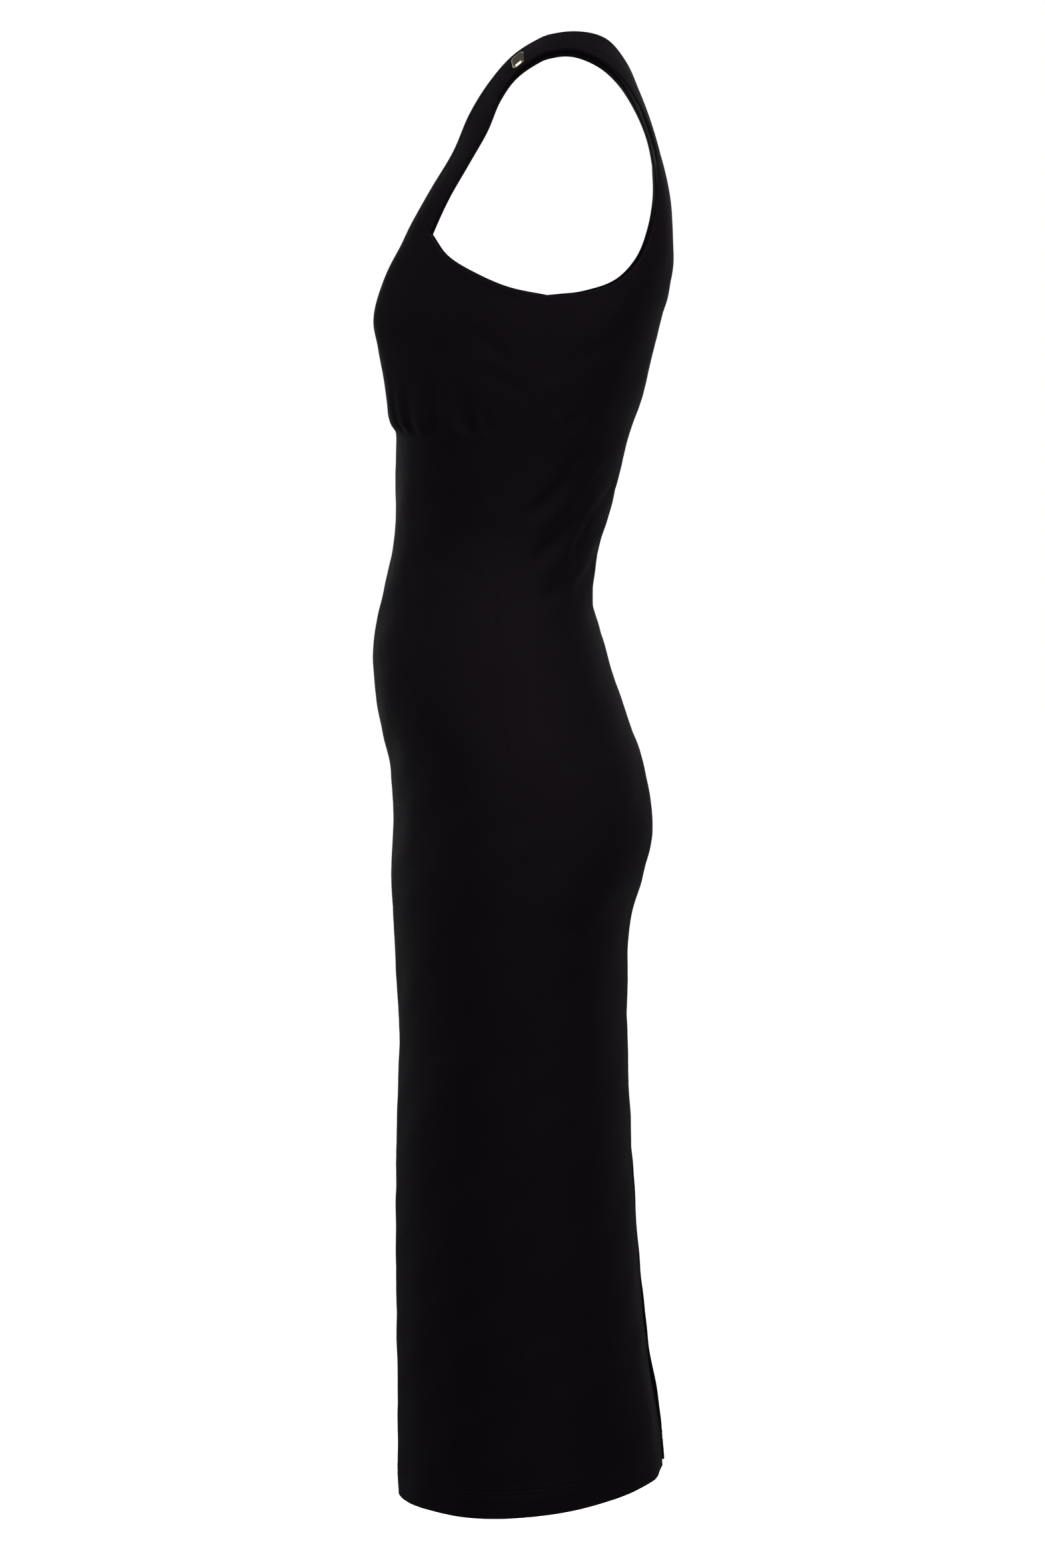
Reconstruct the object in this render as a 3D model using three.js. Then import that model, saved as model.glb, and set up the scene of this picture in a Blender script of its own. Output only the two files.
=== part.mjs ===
// A sleeveless black jersey midi dress in the hollow form that it takes when it is worn: two cups gathered
// onto an underbust seam, wide shoulder straps, a plain front from that seam to the hem, and two back pieces
// that run from the shoulders to the hem and part in a slit at the centre back.
//
// Millimetres, +Z up. The wearer faces -Y and the wearer's left is +X. The origin is midway between the tops
// of the two straps, where the shoulders carry the dress. A "drop" is a distance below the origin.
//
// The cloth lies on a general figure, the "form". A place on it is a turn and a drop: turn 0 is the centre
// front, 1 the left side seam, 2 the centre back, and the right half has the same turns with a minus sign.
import * as THREE from "three";

const CLOTH = 1.5; // thickness of every cloth wall
const SEAM = 0.3; // space between two pieces at a seam
const HALF_SEAM = SEAM / 2;

const UNDERBUST_DROP = 330; // seam between the cups and the front
const ARMHOLE_DROP = 215; // bottom of the armhole, where the side seam starts
const NECK_FRONT_DROP = 216; // lowest point of the front neckline
const NECK_BACK_DROP = 150; // lowest point of the back neckline
const HEM = { drop: 1218, tilt: 0.085, bow: 0.0007 }; // drop at the side seam; the hem tilts up to the back
const SLIT = { top: 880, opening: 17, power: 1.6, leftFlare: 1.2, rightFlare: 4.8, flareReach: 30 };
const BUST = { x: 84, spread: 52 }; // the line of each cup's greatest depth, and how far it spreads sideways
const SHOULDER_SEAM = 6; // station of the strap where the front strap meets the back

// Horizontal sections of the form. front and back are the centre lines, half is half the width and side is
// the depth of the widest place. The powers say how square the front and back halves of a section are, and
// rise is how far the cups stand out of it.
const SECTIONS = [
  { drop: 60, front: -86, back: 58, half: 118, side: 0, frontPower: 2.4, backPower: 5.4, rise: 0 },
  { drop: 97, front: -106, back: 71, half: 130, side: -6, frontPower: 2.4, backPower: 5.2, rise: 5 },
  { drop: 130, front: -120, back: 79, half: 137, side: -11, frontPower: 2.4, backPower: 4.6, rise: 11 },
  { drop: 160, front: -130, back: 82, half: 142, side: -15, frontPower: 2.4, backPower: 4, rise: 18 },
  { drop: 190, front: -139, back: 82, half: 146, side: -19, frontPower: 2.4, backPower: 3.8, rise: 26 },
  { drop: 217, front: -147, back: 77.5, half: 148, side: -22, frontPower: 2.4, backPower: 3.4, rise: 29 },
  { drop: 236, front: -151, back: 72, half: 148, side: -25, frontPower: 2.4, backPower: 3.1, rise: 28 },
  { drop: 256, front: -151, back: 67.5, half: 146, side: -28, frontPower: 2.4, backPower: 2.9, rise: 24 },
  { drop: 283, front: -150, back: 61, half: 142, side: -33, frontPower: 2.5, backPower: 2.7, rise: 18 },
  { drop: 303, front: -149, back: 55.5, half: 138, side: -38, frontPower: 2.6, backPower: 2.6, rise: 15 },
  { drop: 321, front: -148.5, back: 49.5, half: 134.5, side: -42, frontPower: 2.7, backPower: 2.5, rise: 11 },
  { drop: 330, front: -148.5, back: 46.8, half: 133, side: -44, frontPower: 2.7, backPower: 2.5, rise: 2 },
  { drop: 345, front: -149, back: 42.5, half: 130, side: -47, frontPower: 2.6, backPower: 2.5, rise: 0 },
  { drop: 389, front: -149, back: 31.5, half: 123, side: -56, frontPower: 2.4, backPower: 2.4, rise: 0 },
  { drop: 425, front: -152, back: 21.5, half: 121, side: -61, frontPower: 2.3, backPower: 2.4, rise: 0 },
  { drop: 466, front: -160.5, back: 16, half: 129, side: -65, frontPower: 2.3, backPower: 2.4, rise: 0 },
  { drop: 515, front: -168.5, back: 28, half: 148, side: -66, frontPower: 2.3, backPower: 2.4, rise: 0 },
  { drop: 560, front: -164.5, back: 42.5, half: 163, side: -60, frontPower: 2.3, backPower: 2.4, rise: 0 },
  { drop: 610, front: -154, back: 59, half: 173, side: -51, frontPower: 2.3, backPower: 2.5, rise: 0 },
  { drop: 660, front: -151.5, back: 66.5, half: 177, side: -46, frontPower: 2.3, backPower: 2.5, rise: 0 },
  { drop: 703, front: -153.5, back: 57, half: 177, side: -46, frontPower: 2.3, backPower: 2.5, rise: 0 },
  { drop: 728, front: -152, back: 49.5, half: 176, side: -47, frontPower: 2.3, backPower: 2.4, rise: 0 },
  { drop: 755, front: -150.5, back: 46, half: 175, side: -47, frontPower: 2.3, backPower: 2.4, rise: 0 },
  { drop: 830, front: -147, back: 45, half: 171, side: -48, frontPower: 2.3, backPower: 2.4, rise: 0 },
  { drop: 960, front: -149.5, back: 50, half: 166, side: -47, frontPower: 2.3, backPower: 2.4, rise: 0 },
  { drop: 1090, front: -148.5, back: 59.5, half: 164, side: -44, frontPower: 2.3, backPower: 2.4, rise: 0 },
  { drop: 1165, front: -147.5, back: 71, half: 165, side: -41, frontPower: 2.3, backPower: 2.4, rise: 0 },
  { drop: 1240, front: -147, back: 76, half: 166, side: -39, frontPower: 2.3, backPower: 2.4, rise: 0 },
];

// The left armhole as it shows from the side: y and drop of its edge, from the side seam up to the strap.
const ARMHOLE_FRONT = [
  { y: -22, drop: 215 },
  { y: -55, drop: 208 },
  { y: -85, drop: 195 },
  { y: -107, drop: 181 },
  { y: -120, drop: 163 },
];
const ARMHOLE_BACK = [
  { y: -22, drop: 215 },
  { y: 9, drop: 211.5 },
  { y: 36, drop: 202 },
  { y: 54, drop: 184 },
  { y: 64, drop: 160 },
  { y: 69, drop: 132 },
  { y: 68.5, drop: 105 },
];

// Stations of the left strap from the front, where a cup carries it, over the shoulder to the back. Its
// neck edge and its armhole edge each have a place. The first and last stations lie on the form.
const STRAP_FOOT = { neckX: 58, neckDrop: 157 };
const STRAP_HEEL = { neckX: 58, neckDrop: 97 };
const STRAP = [
  { neckX: 61, neckY: -118.5, neckDrop: 126, armX: 103, armY: -106, armDrop: 132 },
  { neckX: 64, neckY: -100.5, neckDrop: 96, armX: 105, armY: -89.5, armDrop: 103 },
  { neckX: 67, neckY: -87, neckDrop: 65, armX: 107, armY: -74, armDrop: 76 },
  { neckX: 70, neckY: -70, neckDrop: 38, armX: 108.5, armY: -63, armDrop: 50 },
  { neckX: 72, neckY: -49.5, neckDrop: 15.5, armX: 109.5, armY: -48, armDrop: 29.5 },
  { neckX: 73, neckY: -24, neckDrop: 1, armX: 110, armY: -25, armDrop: 15 },
  { neckX: 73, neckY: 2, neckDrop: -3, armX: 110, armY: -2, armDrop: 11.5 },
  { neckX: 72, neckY: 26, neckDrop: 3, armX: 109, armY: 21, armDrop: 20 },
  { neckX: 69, neckY: 42.5, neckDrop: 22, armX: 106.5, armY: 38.5, armDrop: 35 },
  { neckX: 65, neckY: 53, neckDrop: 45, armX: 104, armY: 52.5, armDrop: 56 },
  { neckX: 61, neckY: 62.5, neckDrop: 70, armX: 102, armY: 63, armDrop: 80 },
];
const STRAP_CROWN = 1.2; // how far a strap bows out between its edges

// Gathers of each cup, as troughs that rise from the underbust seam and lean to the bust.
const GATHERS = [
  { turn: 0.13, width: 5.2, depth: 1.8, length: 36 },
  { turn: 0.22, width: 4.8, depth: 2.6, length: 52 },
  { turn: 0.3, width: 4.6, depth: 2.0, length: 40 },
  { turn: 0.39, width: 5.6, depth: 3.2, length: 66 },
  { turn: 0.47, width: 4.6, depth: 2.2, length: 44 },
  { turn: 0.55, width: 5.0, depth: 2.8, length: 58 },
  { turn: 0.64, width: 5.4, depth: 3.2, length: 68 },
  { turn: 0.73, width: 4.6, depth: 2.2, length: 44 },
  { turn: 0.82, width: 5.2, depth: 2.0, length: 36 },
];
const GATHER_LEAN = 0.003; // share of the way to the bust line that a gather leans for each mm up

// Creases where the cloth folds in above the seat. lean is the angle from level, in degrees, with the end
// nearer the centre back the higher one.
const CREASES = [
  { turn: 1.4, drop: 378, lean: 40, length: 46, width: 10, depth: 3.2 },
  { turn: 1.38, drop: 412, lean: 38, length: 56, width: 11, depth: 4.2 },
  { turn: 1.64, drop: 446, lean: 22, length: 46, width: 11, depth: 3.0 },
  { turn: -1.46, drop: 386, lean: 36, length: 52, width: 11, depth: 3.8 },
  { turn: -1.36, drop: 424, lean: 42, length: 46, width: 10, depth: 3.4 },
  { turn: -1.7, drop: 452, lean: 18, length: 48, width: 11, depth: 3.0 },
];

// Soft upright folds of the skirt, which deepen towards the hem. A fold with a minus depth is a hollow.
const FLUTES = [
  { turn: 0.22, top: 760, width: 26, depth: 2.2 },
  { turn: 0.62, top: 820, width: 30, depth: -2.8 },
  { turn: 1.3, top: 860, width: 30, depth: -3.0 },
  { turn: 1.66, top: 800, width: 24, depth: 2.4 },
  { turn: -0.3, top: 800, width: 28, depth: -2.4 },
  { turn: -0.7, top: 780, width: 28, depth: 2.2 },
  { turn: -1.24, top: 840, width: 28, depth: -2.8 },
  { turn: -1.6, top: 820, width: 26, depth: 2.6 },
];

// The plain metal plate on the left strap: its centre across and along the strap, and its size.
const PLATE = { across: 0.68, station: 5.13, length: 12, width: 21, thickness: 1.6, crown: 1.0, squareness: 5 };

// How many cells each piece has from side to side, and how many rows the pieces have above the armhole.
const COLUMNS = { cup: 34, front: 24, back: 18, strap: 4 };
const ROWS = { cupTop: 8, blade: 3, scoop: 5, strapFront: 13, strapBack: 11 };
const BLADE_SHARE = 0.55; // how far up the back armhole the row from the lowest point of the neckline ends
const LONG_DIAGONAL = 1.15; // how much longer than the other the preferred diagonal of a cell may be

// Rows of every piece between the armhole and the hem, evenly spaced down to each of these drops.
const BANDS = [
  { to: 312, rows: 6 },
  { to: UNDERBUST_DROP, rows: 2 },
  { to: 474, rows: 13 },
  { to: SLIT.top, rows: 12 },
  { to: HEM.drop, rows: 6 },
];

const clamp01 = (value) => Math.min(1, Math.max(0, value));
const smooth = (value) => clamp01(value) ** 2 * (3 - 2 * clamp01(value));
const mix = (a, b, share) => a + (b - a) * share;

// The value of a column at a place along a table, on a smooth curve through its rows.
function along(rows, key, column, at) {
  let i = 0;
  while (i < rows.length - 2 && at > rows[i + 1][key]) i += 1;
  const slope = (j) => {
    const a = rows[Math.max(0, j - 1)];
    const b = rows[Math.min(rows.length - 1, j + 1)];
    return (b[column] - a[column]) / (b[key] - a[key]);
  };
  const [a, b] = [rows[i], rows[i + 1]];
  const span = b[key] - a[key];
  const t = clamp01((at - a[key]) / span);
  const [t2, t3] = [t * t, t * t * t];
  return (
    (2 * t3 - 3 * t2 + 1) * a[column] +
    (t3 - 2 * t2 + t) * span * slope(i) +
    (3 * t2 - 2 * t3) * b[column] +
    (t3 - t2) * span * slope(i + 1)
  );
}

// The same for a table whose rows are evenly spaced stations: share 0 is the first row and 1 the last.
function alongRows(rows, column, share) {
  const numbered = rows.map((row, i) => ({ station: i, value: row[column] }));
  return along(numbered, "station", "value", share * (rows.length - 1));
}

// ---- The form ----

const ARC_STEPS = 48;
const sectionsMade = new Map();

// A section with the running length of its front and back quarters, from the centre front and from the side.
function section(drop) {
  const key = drop.toFixed(3);
  if (!sectionsMade.has(key)) {
    const made = {};
    for (const column of Object.keys(SECTIONS[0])) made[column] = along(SECTIONS, "drop", column, drop);
    made.rise = Math.max(0, made.rise);
    made.quarters = [0, 1].map((quarter) => {
      const lengths = [0];
      let last = ringPoint(made, (quarter * Math.PI) / 2);
      for (let i = 1; i <= ARC_STEPS; i += 1) {
        const point = ringPoint(made, ((quarter + i / ARC_STEPS) * Math.PI) / 2);
        lengths.push(lengths[i - 1] + point.distanceTo(last));
        last = point;
      }
      return lengths;
    });
    sectionsMade.set(key, made);
  }
  return sectionsMade.get(key);
}

function ringPoint(made, angle) {
  const [sin, cos] = [Math.max(0, Math.sin(angle)), Math.cos(angle)];
  const power = cos > 0 ? made.frontPower : made.backPower;
  const reach = cos > 0 ? made.front : made.back;
  const radius = (sin ** power + Math.abs(cos) ** power) ** (-1 / power);
  const x = made.half * radius * sin;
  const share = radius * Math.abs(cos);
  const cup = cos > 0 ? made.rise * share * Math.exp(-(((x - BUST.x) / BUST.spread) ** 2)) : 0;
  return new THREE.Vector2(x, made.side + (reach - made.side) * share - cup);
}

const BACK = 1.5; // any turn between the side seam and the centre back
const quarterLength = (turn, drop) => section(drop).quarters[Math.abs(turn) < 1 ? 0 : 1][ARC_STEPS];

function angleAt(made, turn) {
  const quarter = turn < 1 ? 0 : 1;
  const lengths = made.quarters[quarter];
  const wanted = (turn - quarter) * lengths[ARC_STEPS];
  let i = 1;
  while (i < ARC_STEPS && lengths[i] < wanted) i += 1;
  const share = (wanted - lengths[i - 1]) / (lengths[i] - lengths[i - 1]);
  return ((quarter + (i - 1 + share) / ARC_STEPS) * Math.PI) / 2;
}

// A point of the form with no folds. Turns past the centre front and centre back run on into the other half.
function formPoint(turn, drop) {
  const size = Math.abs(turn);
  const past = size > 2;
  const sign = Math.sign(turn || 1) * (past ? -1 : 1);
  const made = section(drop);
  const ring = ringPoint(made, angleAt(made, past ? 4 - size : size));
  return new THREE.Vector3(sign * ring.x, ring.y, -drop);
}

function formNormal(turn, drop) {
  const [turnStep, dropStep] = [0.01, 1.5];
  const across = formPoint(turn + turnStep, drop).sub(formPoint(turn - turnStep, drop));
  const down = formPoint(turn, drop + dropStep).sub(formPoint(turn, drop - dropStep));
  return down.cross(across).normalize();
}

// The turn on the left half of the form, at a drop, where a test that grows with the turn passes zero.
function turnWhere(low, high, test) {
  for (let i = 0; i < 40; i += 1) {
    const middle = (low + high) / 2;
    if (test(middle) < 0) low = middle;
    else high = middle;
  }
  return (low + high) / 2;
}
const turnAtDepth = (low, high, drop, y) => turnWhere(low, high, (turn) => formPoint(turn, drop).y - y);
const frontTurnAtX = (drop, x) => turnWhere(0, 1, (turn) => formPoint(turn, drop).x - x);
const backTurnAtX = (drop, x) => turnWhere(1, 2, (turn) => x - formPoint(turn, drop).x);

// ---- Folds: how far the cloth stands out of the form ----

function creaseDepth(turn, drop) {
  let out = 0;
  for (const crease of CREASES) {
    let away = turn - crease.turn;
    if (Math.abs(away) > 2) away -= 4 * Math.sign(away);
    const across = away * quarterLength(turn, drop) * Math.sign(crease.turn);
    const down = drop - crease.drop;
    const lean = (crease.lean * Math.PI) / 180;
    const lengthwise = across * Math.cos(lean) - down * Math.sin(lean);
    const sideways = across * Math.sin(lean) + down * Math.cos(lean);
    out -= crease.depth * Math.exp(-((lengthwise / crease.length) ** 4) - (sideways / crease.width) ** 2);
  }
  return out;
}

function fluteDepth(turn, drop) {
  let out = 0;
  for (const flute of FLUTES) {
    const across = (turn - flute.turn) * quarterLength(turn, drop);
    const growth = smooth((drop - flute.top) / (HEM.drop - flute.top));
    out += flute.depth * growth * Math.exp(-((across / flute.width) ** 2));
  }
  return out;
}

function gatherDepth(turn, drop) {
  const up = UNDERBUST_DROP - drop;
  const bustTurn = frontTurnAtX(drop, BUST.x);
  let out = 0;
  for (const gather of GATHERS) {
    const centre = mix(gather.turn, bustTurn, GATHER_LEAN * up);
    const across = (Math.abs(turn) - centre) * quarterLength(turn, drop);
    out -= gather.depth * (1 - smooth(up / gather.length)) * Math.exp(-((across / gather.width) ** 2));
  }
  return out;
}

// The edges of the slit flare a little away from the legs, the right one further than the left one.
function flareDepth(turn, drop) {
  const growth = smooth((drop - SLIT.top) / (HEM.drop - SLIT.top));
  const fromCentre = (2 - Math.abs(turn)) * quarterLength(turn, drop);
  const flare = turn > 0 ? SLIT.leftFlare : SLIT.rightFlare;
  return flare * growth * Math.exp(-((fromCentre / SLIT.flareReach) ** 2));
}

// A place on the cloth: its point and its outward normal.
function onForm(turn, drop, depth) {
  const normal = formNormal(turn, drop);
  return { point: formPoint(turn, drop).addScaledVector(normal, depth(turn, drop)), normal };
}
const bodyDepth = (turn, drop) => creaseDepth(turn, drop) + fluteDepth(turn, drop);
const backDepth = (turn, drop) => bodyDepth(turn, drop) + flareDepth(turn, drop);

// ---- The strap ----

// The neckline's drop at a share of the way from its lowest point to the strap.
const frontNeck = (share) => ({
  x: STRAP_FOOT.neckX * share,
  drop: mix(NECK_FRONT_DROP, STRAP_FOOT.neckDrop, share ** 1.25),
});
const backNeck = (share) => ({
  x: STRAP_HEEL.neckX * Math.sin((share * Math.PI) / 2),
  drop: mix(STRAP_HEEL.neckDrop, NECK_BACK_DROP, Math.cos((share * Math.PI) / 2)),
});
const armholeFront = (share) => ({
  y: alongRows(ARMHOLE_FRONT, "y", share),
  drop: alongRows(ARMHOLE_FRONT, "drop", share),
});
const armholeBack = (share) => ({
  y: alongRows(ARMHOLE_BACK, "y", share),
  drop: alongRows(ARMHOLE_BACK, "drop", share),
});

function frontArmholeTurn(share) {
  const edge = armholeFront(share);
  return turnAtDepth(frontTurnAtX(edge.drop, BUST.x), 1, edge.drop, edge.y);
}
function backArmholeTurn(share) {
  const edge = armholeBack(share);
  return turnAtDepth(1, 2, edge.drop, edge.y);
}

// The rows of the form where the strap is sewn to the cup and where it grows out of the back.
const foot = {
  inner: { turn: frontTurnAtX(STRAP_FOOT.neckDrop, STRAP_FOOT.neckX), drop: STRAP_FOOT.neckDrop },
  outer: { turn: frontArmholeTurn(1), drop: armholeFront(1).drop },
};
const heel = {
  inner: { turn: backTurnAtX(STRAP_HEEL.neckDrop, STRAP_HEEL.neckX), drop: STRAP_HEEL.neckDrop },
  outer: { turn: backArmholeTurn(1), drop: armholeBack(1).drop },
};
const LAST_STATION = STRAP.length + 1;

// A point of a straight run on the form between the two ends of a row.
function rowPoint(row, across) {
  return formPoint(mix(row.inner.turn, row.outer.turn, across), mix(row.inner.drop, row.outer.drop, across));
}

// One edge of the strap as a curve, run on below each end so that it leaves the form smoothly.
function strapEdge(prefix, across) {
  const runOn = 32;
  const below = (row) => {
    const drop = mix(row.inner.drop, row.outer.drop, across) + runOn;
    return formPoint(mix(row.inner.turn, row.outer.turn, across), drop);
  };
  const places = STRAP.map((s) => new THREE.Vector3(s[`${prefix}X`], s[`${prefix}Y`], -s[`${prefix}Drop`]));
  return [below(foot), rowPoint(foot, across), ...places, rowPoint(heel, across), below(heel)];
}
const EDGES = { neck: strapEdge("neck", 0), arm: strapEdge("arm", 1) };

function edgePoint(points, station) {
  const i = Math.min(LAST_STATION - 1, Math.max(0, Math.floor(station)));
  const t = station - i;
  const [a, b, c, d] = points.slice(i, i + 4);
  const axis = (k) =>
    0.5 *
    (2 * b[k] +
      (c[k] - a[k]) * t +
      (2 * a[k] - 5 * b[k] + 4 * c[k] - d[k]) * t * t +
      (3 * b[k] - a[k] - 3 * c[k] + d[k]) * t * t * t);
  return new THREE.Vector3(axis("x"), axis("y"), axis("z"));
}

// A point of the strap with no regard to the form: straight across, with a slight crown.
function ribbonPoint(across, station) {
  const neck = edgePoint(EDGES.neck, station);
  const arm = edgePoint(EDGES.arm, station);
  const step = 0.05;
  const forward = edgePoint(EDGES.neck, station + step).sub(edgePoint(EDGES.neck, station - step));
  const out = arm.clone().sub(neck).cross(forward).normalize();
  return neck.lerp(arm, across).addScaledVector(out, STRAP_CROWN * 4 * across * (1 - across));
}

// The strap's surface. Near its two ends it eases into the row of the form that it is sewn to.
function strapPoint(across, station) {
  const point = ribbonPoint(across, station);
  for (const [row, end] of [
    [foot, 0],
    [heel, LAST_STATION],
  ]) {
    const share = 1 - smooth(Math.abs(station - end) / 2);
    if (share > 0) point.addScaledVector(rowPoint(row, across).sub(ribbonPoint(across, end)), share);
  }
  return point;
}

function onStrap(across, station) {
  const step = 0.02;
  const [low, high] = [Math.max(0, station - step), Math.min(LAST_STATION, station + step)];
  const forward = strapPoint(across, high).sub(strapPoint(across, low));
  const [left, right] = [Math.max(0, across - step), Math.min(1, across + step)];
  const sideways = strapPoint(right, station).sub(strapPoint(left, station));
  return { point: strapPoint(across, station), normal: sideways.cross(forward).normalize() };
}

// ---- Solids ----

const mirrored = (place) => ({
  point: place.point.clone().setX(-place.point.x),
  normal: place.normal.clone().setX(-place.normal.x),
});

// A closed wall on a grid of places, from its outer surface in by the thickness.
function wall(rows, thickness) {
  const [height, width] = [rows.length, rows[0].length];
  const outer = rows.flat().map((place) => place.point);
  const inner = rows.flat().map((place) => place.point.clone().addScaledVector(place.normal, -thickness));
  const at = (i, j) => i * width + j;
  const ab = outer[at(0, 1)].clone().sub(outer[at(0, 0)]);
  const ac = outer[at(1, 0)].clone().sub(outer[at(0, 0)]);
  const turned = ab.cross(ac).dot(rows[0][0].normal) < 0;
  const faces = [];
  const points = [...outer, ...inner];
  const inside = outer.length;
  const triangle = (a, b, c) => faces.push(...(turned ? [a, c, b] : [a, b, c]));
  // A cell of the grid is split along the diagonal that runs with the creases, unless it is much the longer.
  const quad = (a, b, c, d) => {
    if (points[a].distanceTo(points[c]) <= LONG_DIAGONAL * points[b].distanceTo(points[d])) {
      triangle(a, b, c);
      triangle(a, c, d);
    } else {
      triangle(a, b, d);
      triangle(b, c, d);
    }
  };
  for (let i = 0; i < height - 1; i += 1) {
    for (let j = 0; j < width - 1; j += 1) {
      const corners = [at(i, j), at(i, j + 1), at(i + 1, j + 1), at(i + 1, j)];
      quad(...corners);
      quad(...corners.map((corner) => corner + inside).reverse());
    }
  }
  const rim = [];
  for (let j = 0; j < width - 1; j += 1) rim.push(at(0, j));
  for (let i = 0; i < height - 1; i += 1) rim.push(at(i, width - 1));
  for (let j = width - 1; j > 0; j -= 1) rim.push(at(height - 1, j));
  for (let i = height - 1; i > 0; i -= 1) rim.push(at(i, 0));
  rim.forEach((a, i) => {
    const b = rim[(i + 1) % rim.length];
    quad(a, a + inside, b + inside, b);
  });
  return solid(points, faces);
}

function solid(points, faces) {
  const geometry = new THREE.BufferGeometry().setFromPoints(points);
  geometry.setIndex(faces);
  geometry.computeVertexNormals();
  return geometry;
}

// A row of places between its two ends, each a turn and a drop. side is -1 for the right half of the dress.
function formRow(inner, outer, columns, depth, side = 1) {
  return Array.from({ length: columns + 1 }, (_, j) => {
    const share = j / columns;
    return onForm(mix(inner.turn, outer.turn, share) * side, mix(inner.drop, outer.drop, share), depth);
  });
}

function strapRow(station, columns, side) {
  const row = Array.from({ length: columns + 1 }, (_, j) => onStrap(j / columns, station));
  return side > 0 ? row : row.map(mirrored);
}

// Half of a seam's space, as a share of a quarter of the form's round or of the strap's next station.
const seamTurn = (quarter, drop) => HALF_SEAM / quarterLength(quarter, drop);
const seamStation = (station) =>
  HALF_SEAM / strapPoint(0.5, station + 1).distanceTo(strapPoint(0.5, station));

// The levels of the rows of every piece below the armhole. A level is a drop at the side seam.
const levels = [ARMHOLE_DROP];
for (const { to, rows } of BANDS) {
  const from = levels[levels.length - 1];
  for (let i = 1; i <= rows; i += 1) levels.push(mix(from, to, i / rows));
}

// The drop of a level at a turn: below the underbust seam the rows tilt more and more, as the hem does.
function levelDrop(level, turn) {
  const behind = formPoint(turn, HEM.drop).y - formPoint(1, HEM.drop).y;
  const share = clamp01((level - UNDERBUST_DROP) / (HEM.drop - UNDERBUST_DROP));
  return level - share * (HEM.tilt * behind + HEM.bow * behind ** 2);
}

// Half of the space between the two back pieces: the seam's, and below the top of the slit its opening.
const slitHalfGap = (level) =>
  HALF_SEAM + SLIT.opening * clamp01((level - SLIT.top) / (HEM.drop - SLIT.top)) ** SLIT.power;

// ---- Pieces ----

// Half of the bust: below the armhole from the centre front to the side seam, and above it up to the strap.
function cup(side) {
  const rows = levels
    .filter((level) => level <= UNDERBUST_DROP)
    .map((level) => {
      const drop = Math.min(level, UNDERBUST_DROP - HALF_SEAM);
      const inner = { turn: seamTurn(0, drop), drop: Math.max(drop, NECK_FRONT_DROP) };
      return formRow(inner, { turn: 1 - seamTurn(0, drop), drop }, COLUMNS.cup, gatherDepth, side);
    });
  for (let i = 1; i <= ROWS.cupTop; i += 1) {
    const share = i / ROWS.cupTop;
    const sewn = i === ROWS.cupTop ? HALF_SEAM : 0;
    const neck = frontNeck(share);
    const inner = { turn: frontTurnAtX(neck.drop, neck.x), drop: neck.drop + sewn };
    const outer = { turn: frontArmholeTurn(share), drop: armholeFront(share).drop + sewn };
    rows.unshift(formRow(inner, outer, COLUMNS.cup, gatherDepth, side));
  }
  return wall(rows, CLOTH);
}

function frontStrap(side) {
  const [start, end] = [seamStation(0), SHOULDER_SEAM - seamStation(SHOULDER_SEAM)];
  const rows = [];
  for (let i = 0; i <= ROWS.strapFront; i += 1) {
    rows.push(strapRow(mix(start, end, i / ROWS.strapFront), COLUMNS.strap, side));
  }
  return wall(rows, CLOTH);
}

// The front from the underbust seam to the hem, from the right side seam to the left one.
function front() {
  const rows = levels
    .filter((level) => level >= UNDERBUST_DROP)
    .map((level) =>
      Array.from({ length: COLUMNS.front + 1 }, (_, j) => {
        const turn = ((2 * j) / COLUMNS.front - 1) * (1 - seamTurn(0, level));
        return onForm(turn, Math.max(levelDrop(level, turn), UNDERBUST_DROP + HALF_SEAM), bodyDepth);
      }),
    );
  return wall(rows, CLOTH);
}

// Half of the back, from the hem to the shoulder seam.
function back(side) {
  const rows = levels.map((level) => {
    const inner = 2 - slitHalfGap(level) / quarterLength(BACK, level);
    const outer = 1 + seamTurn(BACK, level);
    return Array.from({ length: COLUMNS.back + 1 }, (_, j) => {
      const turn = mix(inner, outer, j / COLUMNS.back) * side;
      return onForm(turn, levelDrop(level, turn), backDepth);
    });
  });
  // Between the shoulder blades the rows still end at the centre back, and above that at the neckline.
  for (let i = 1; i <= ROWS.blade + ROWS.scoop; i += 1) {
    const onNeck = Math.max(0, (i - ROWS.blade) / ROWS.scoop);
    const onBlade = Math.min(1, i / ROWS.blade);
    const onArm = onBlade < 1 ? BLADE_SHARE * onBlade : mix(BLADE_SHARE, 1, onNeck);
    const neck = backNeck(onNeck);
    const drop = onBlade < 1 ? mix(ARMHOLE_DROP, NECK_BACK_DROP, onBlade) : neck.drop;
    const inner = { turn: Math.min(2 - seamTurn(BACK, drop), backTurnAtX(neck.drop, neck.x)), drop };
    const outer = { turn: backArmholeTurn(onArm), drop: armholeBack(onArm).drop };
    rows.unshift(formRow(inner, outer, COLUMNS.back, backDepth, side));
  }
  const end = SHOULDER_SEAM + seamStation(SHOULDER_SEAM);
  for (let i = 1; i <= ROWS.strapBack; i += 1) {
    rows.unshift(strapRow(mix(LAST_STATION, end, i / ROWS.strapBack), COLUMNS.back, side));
  }
  return wall(rows, CLOTH);
}

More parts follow.
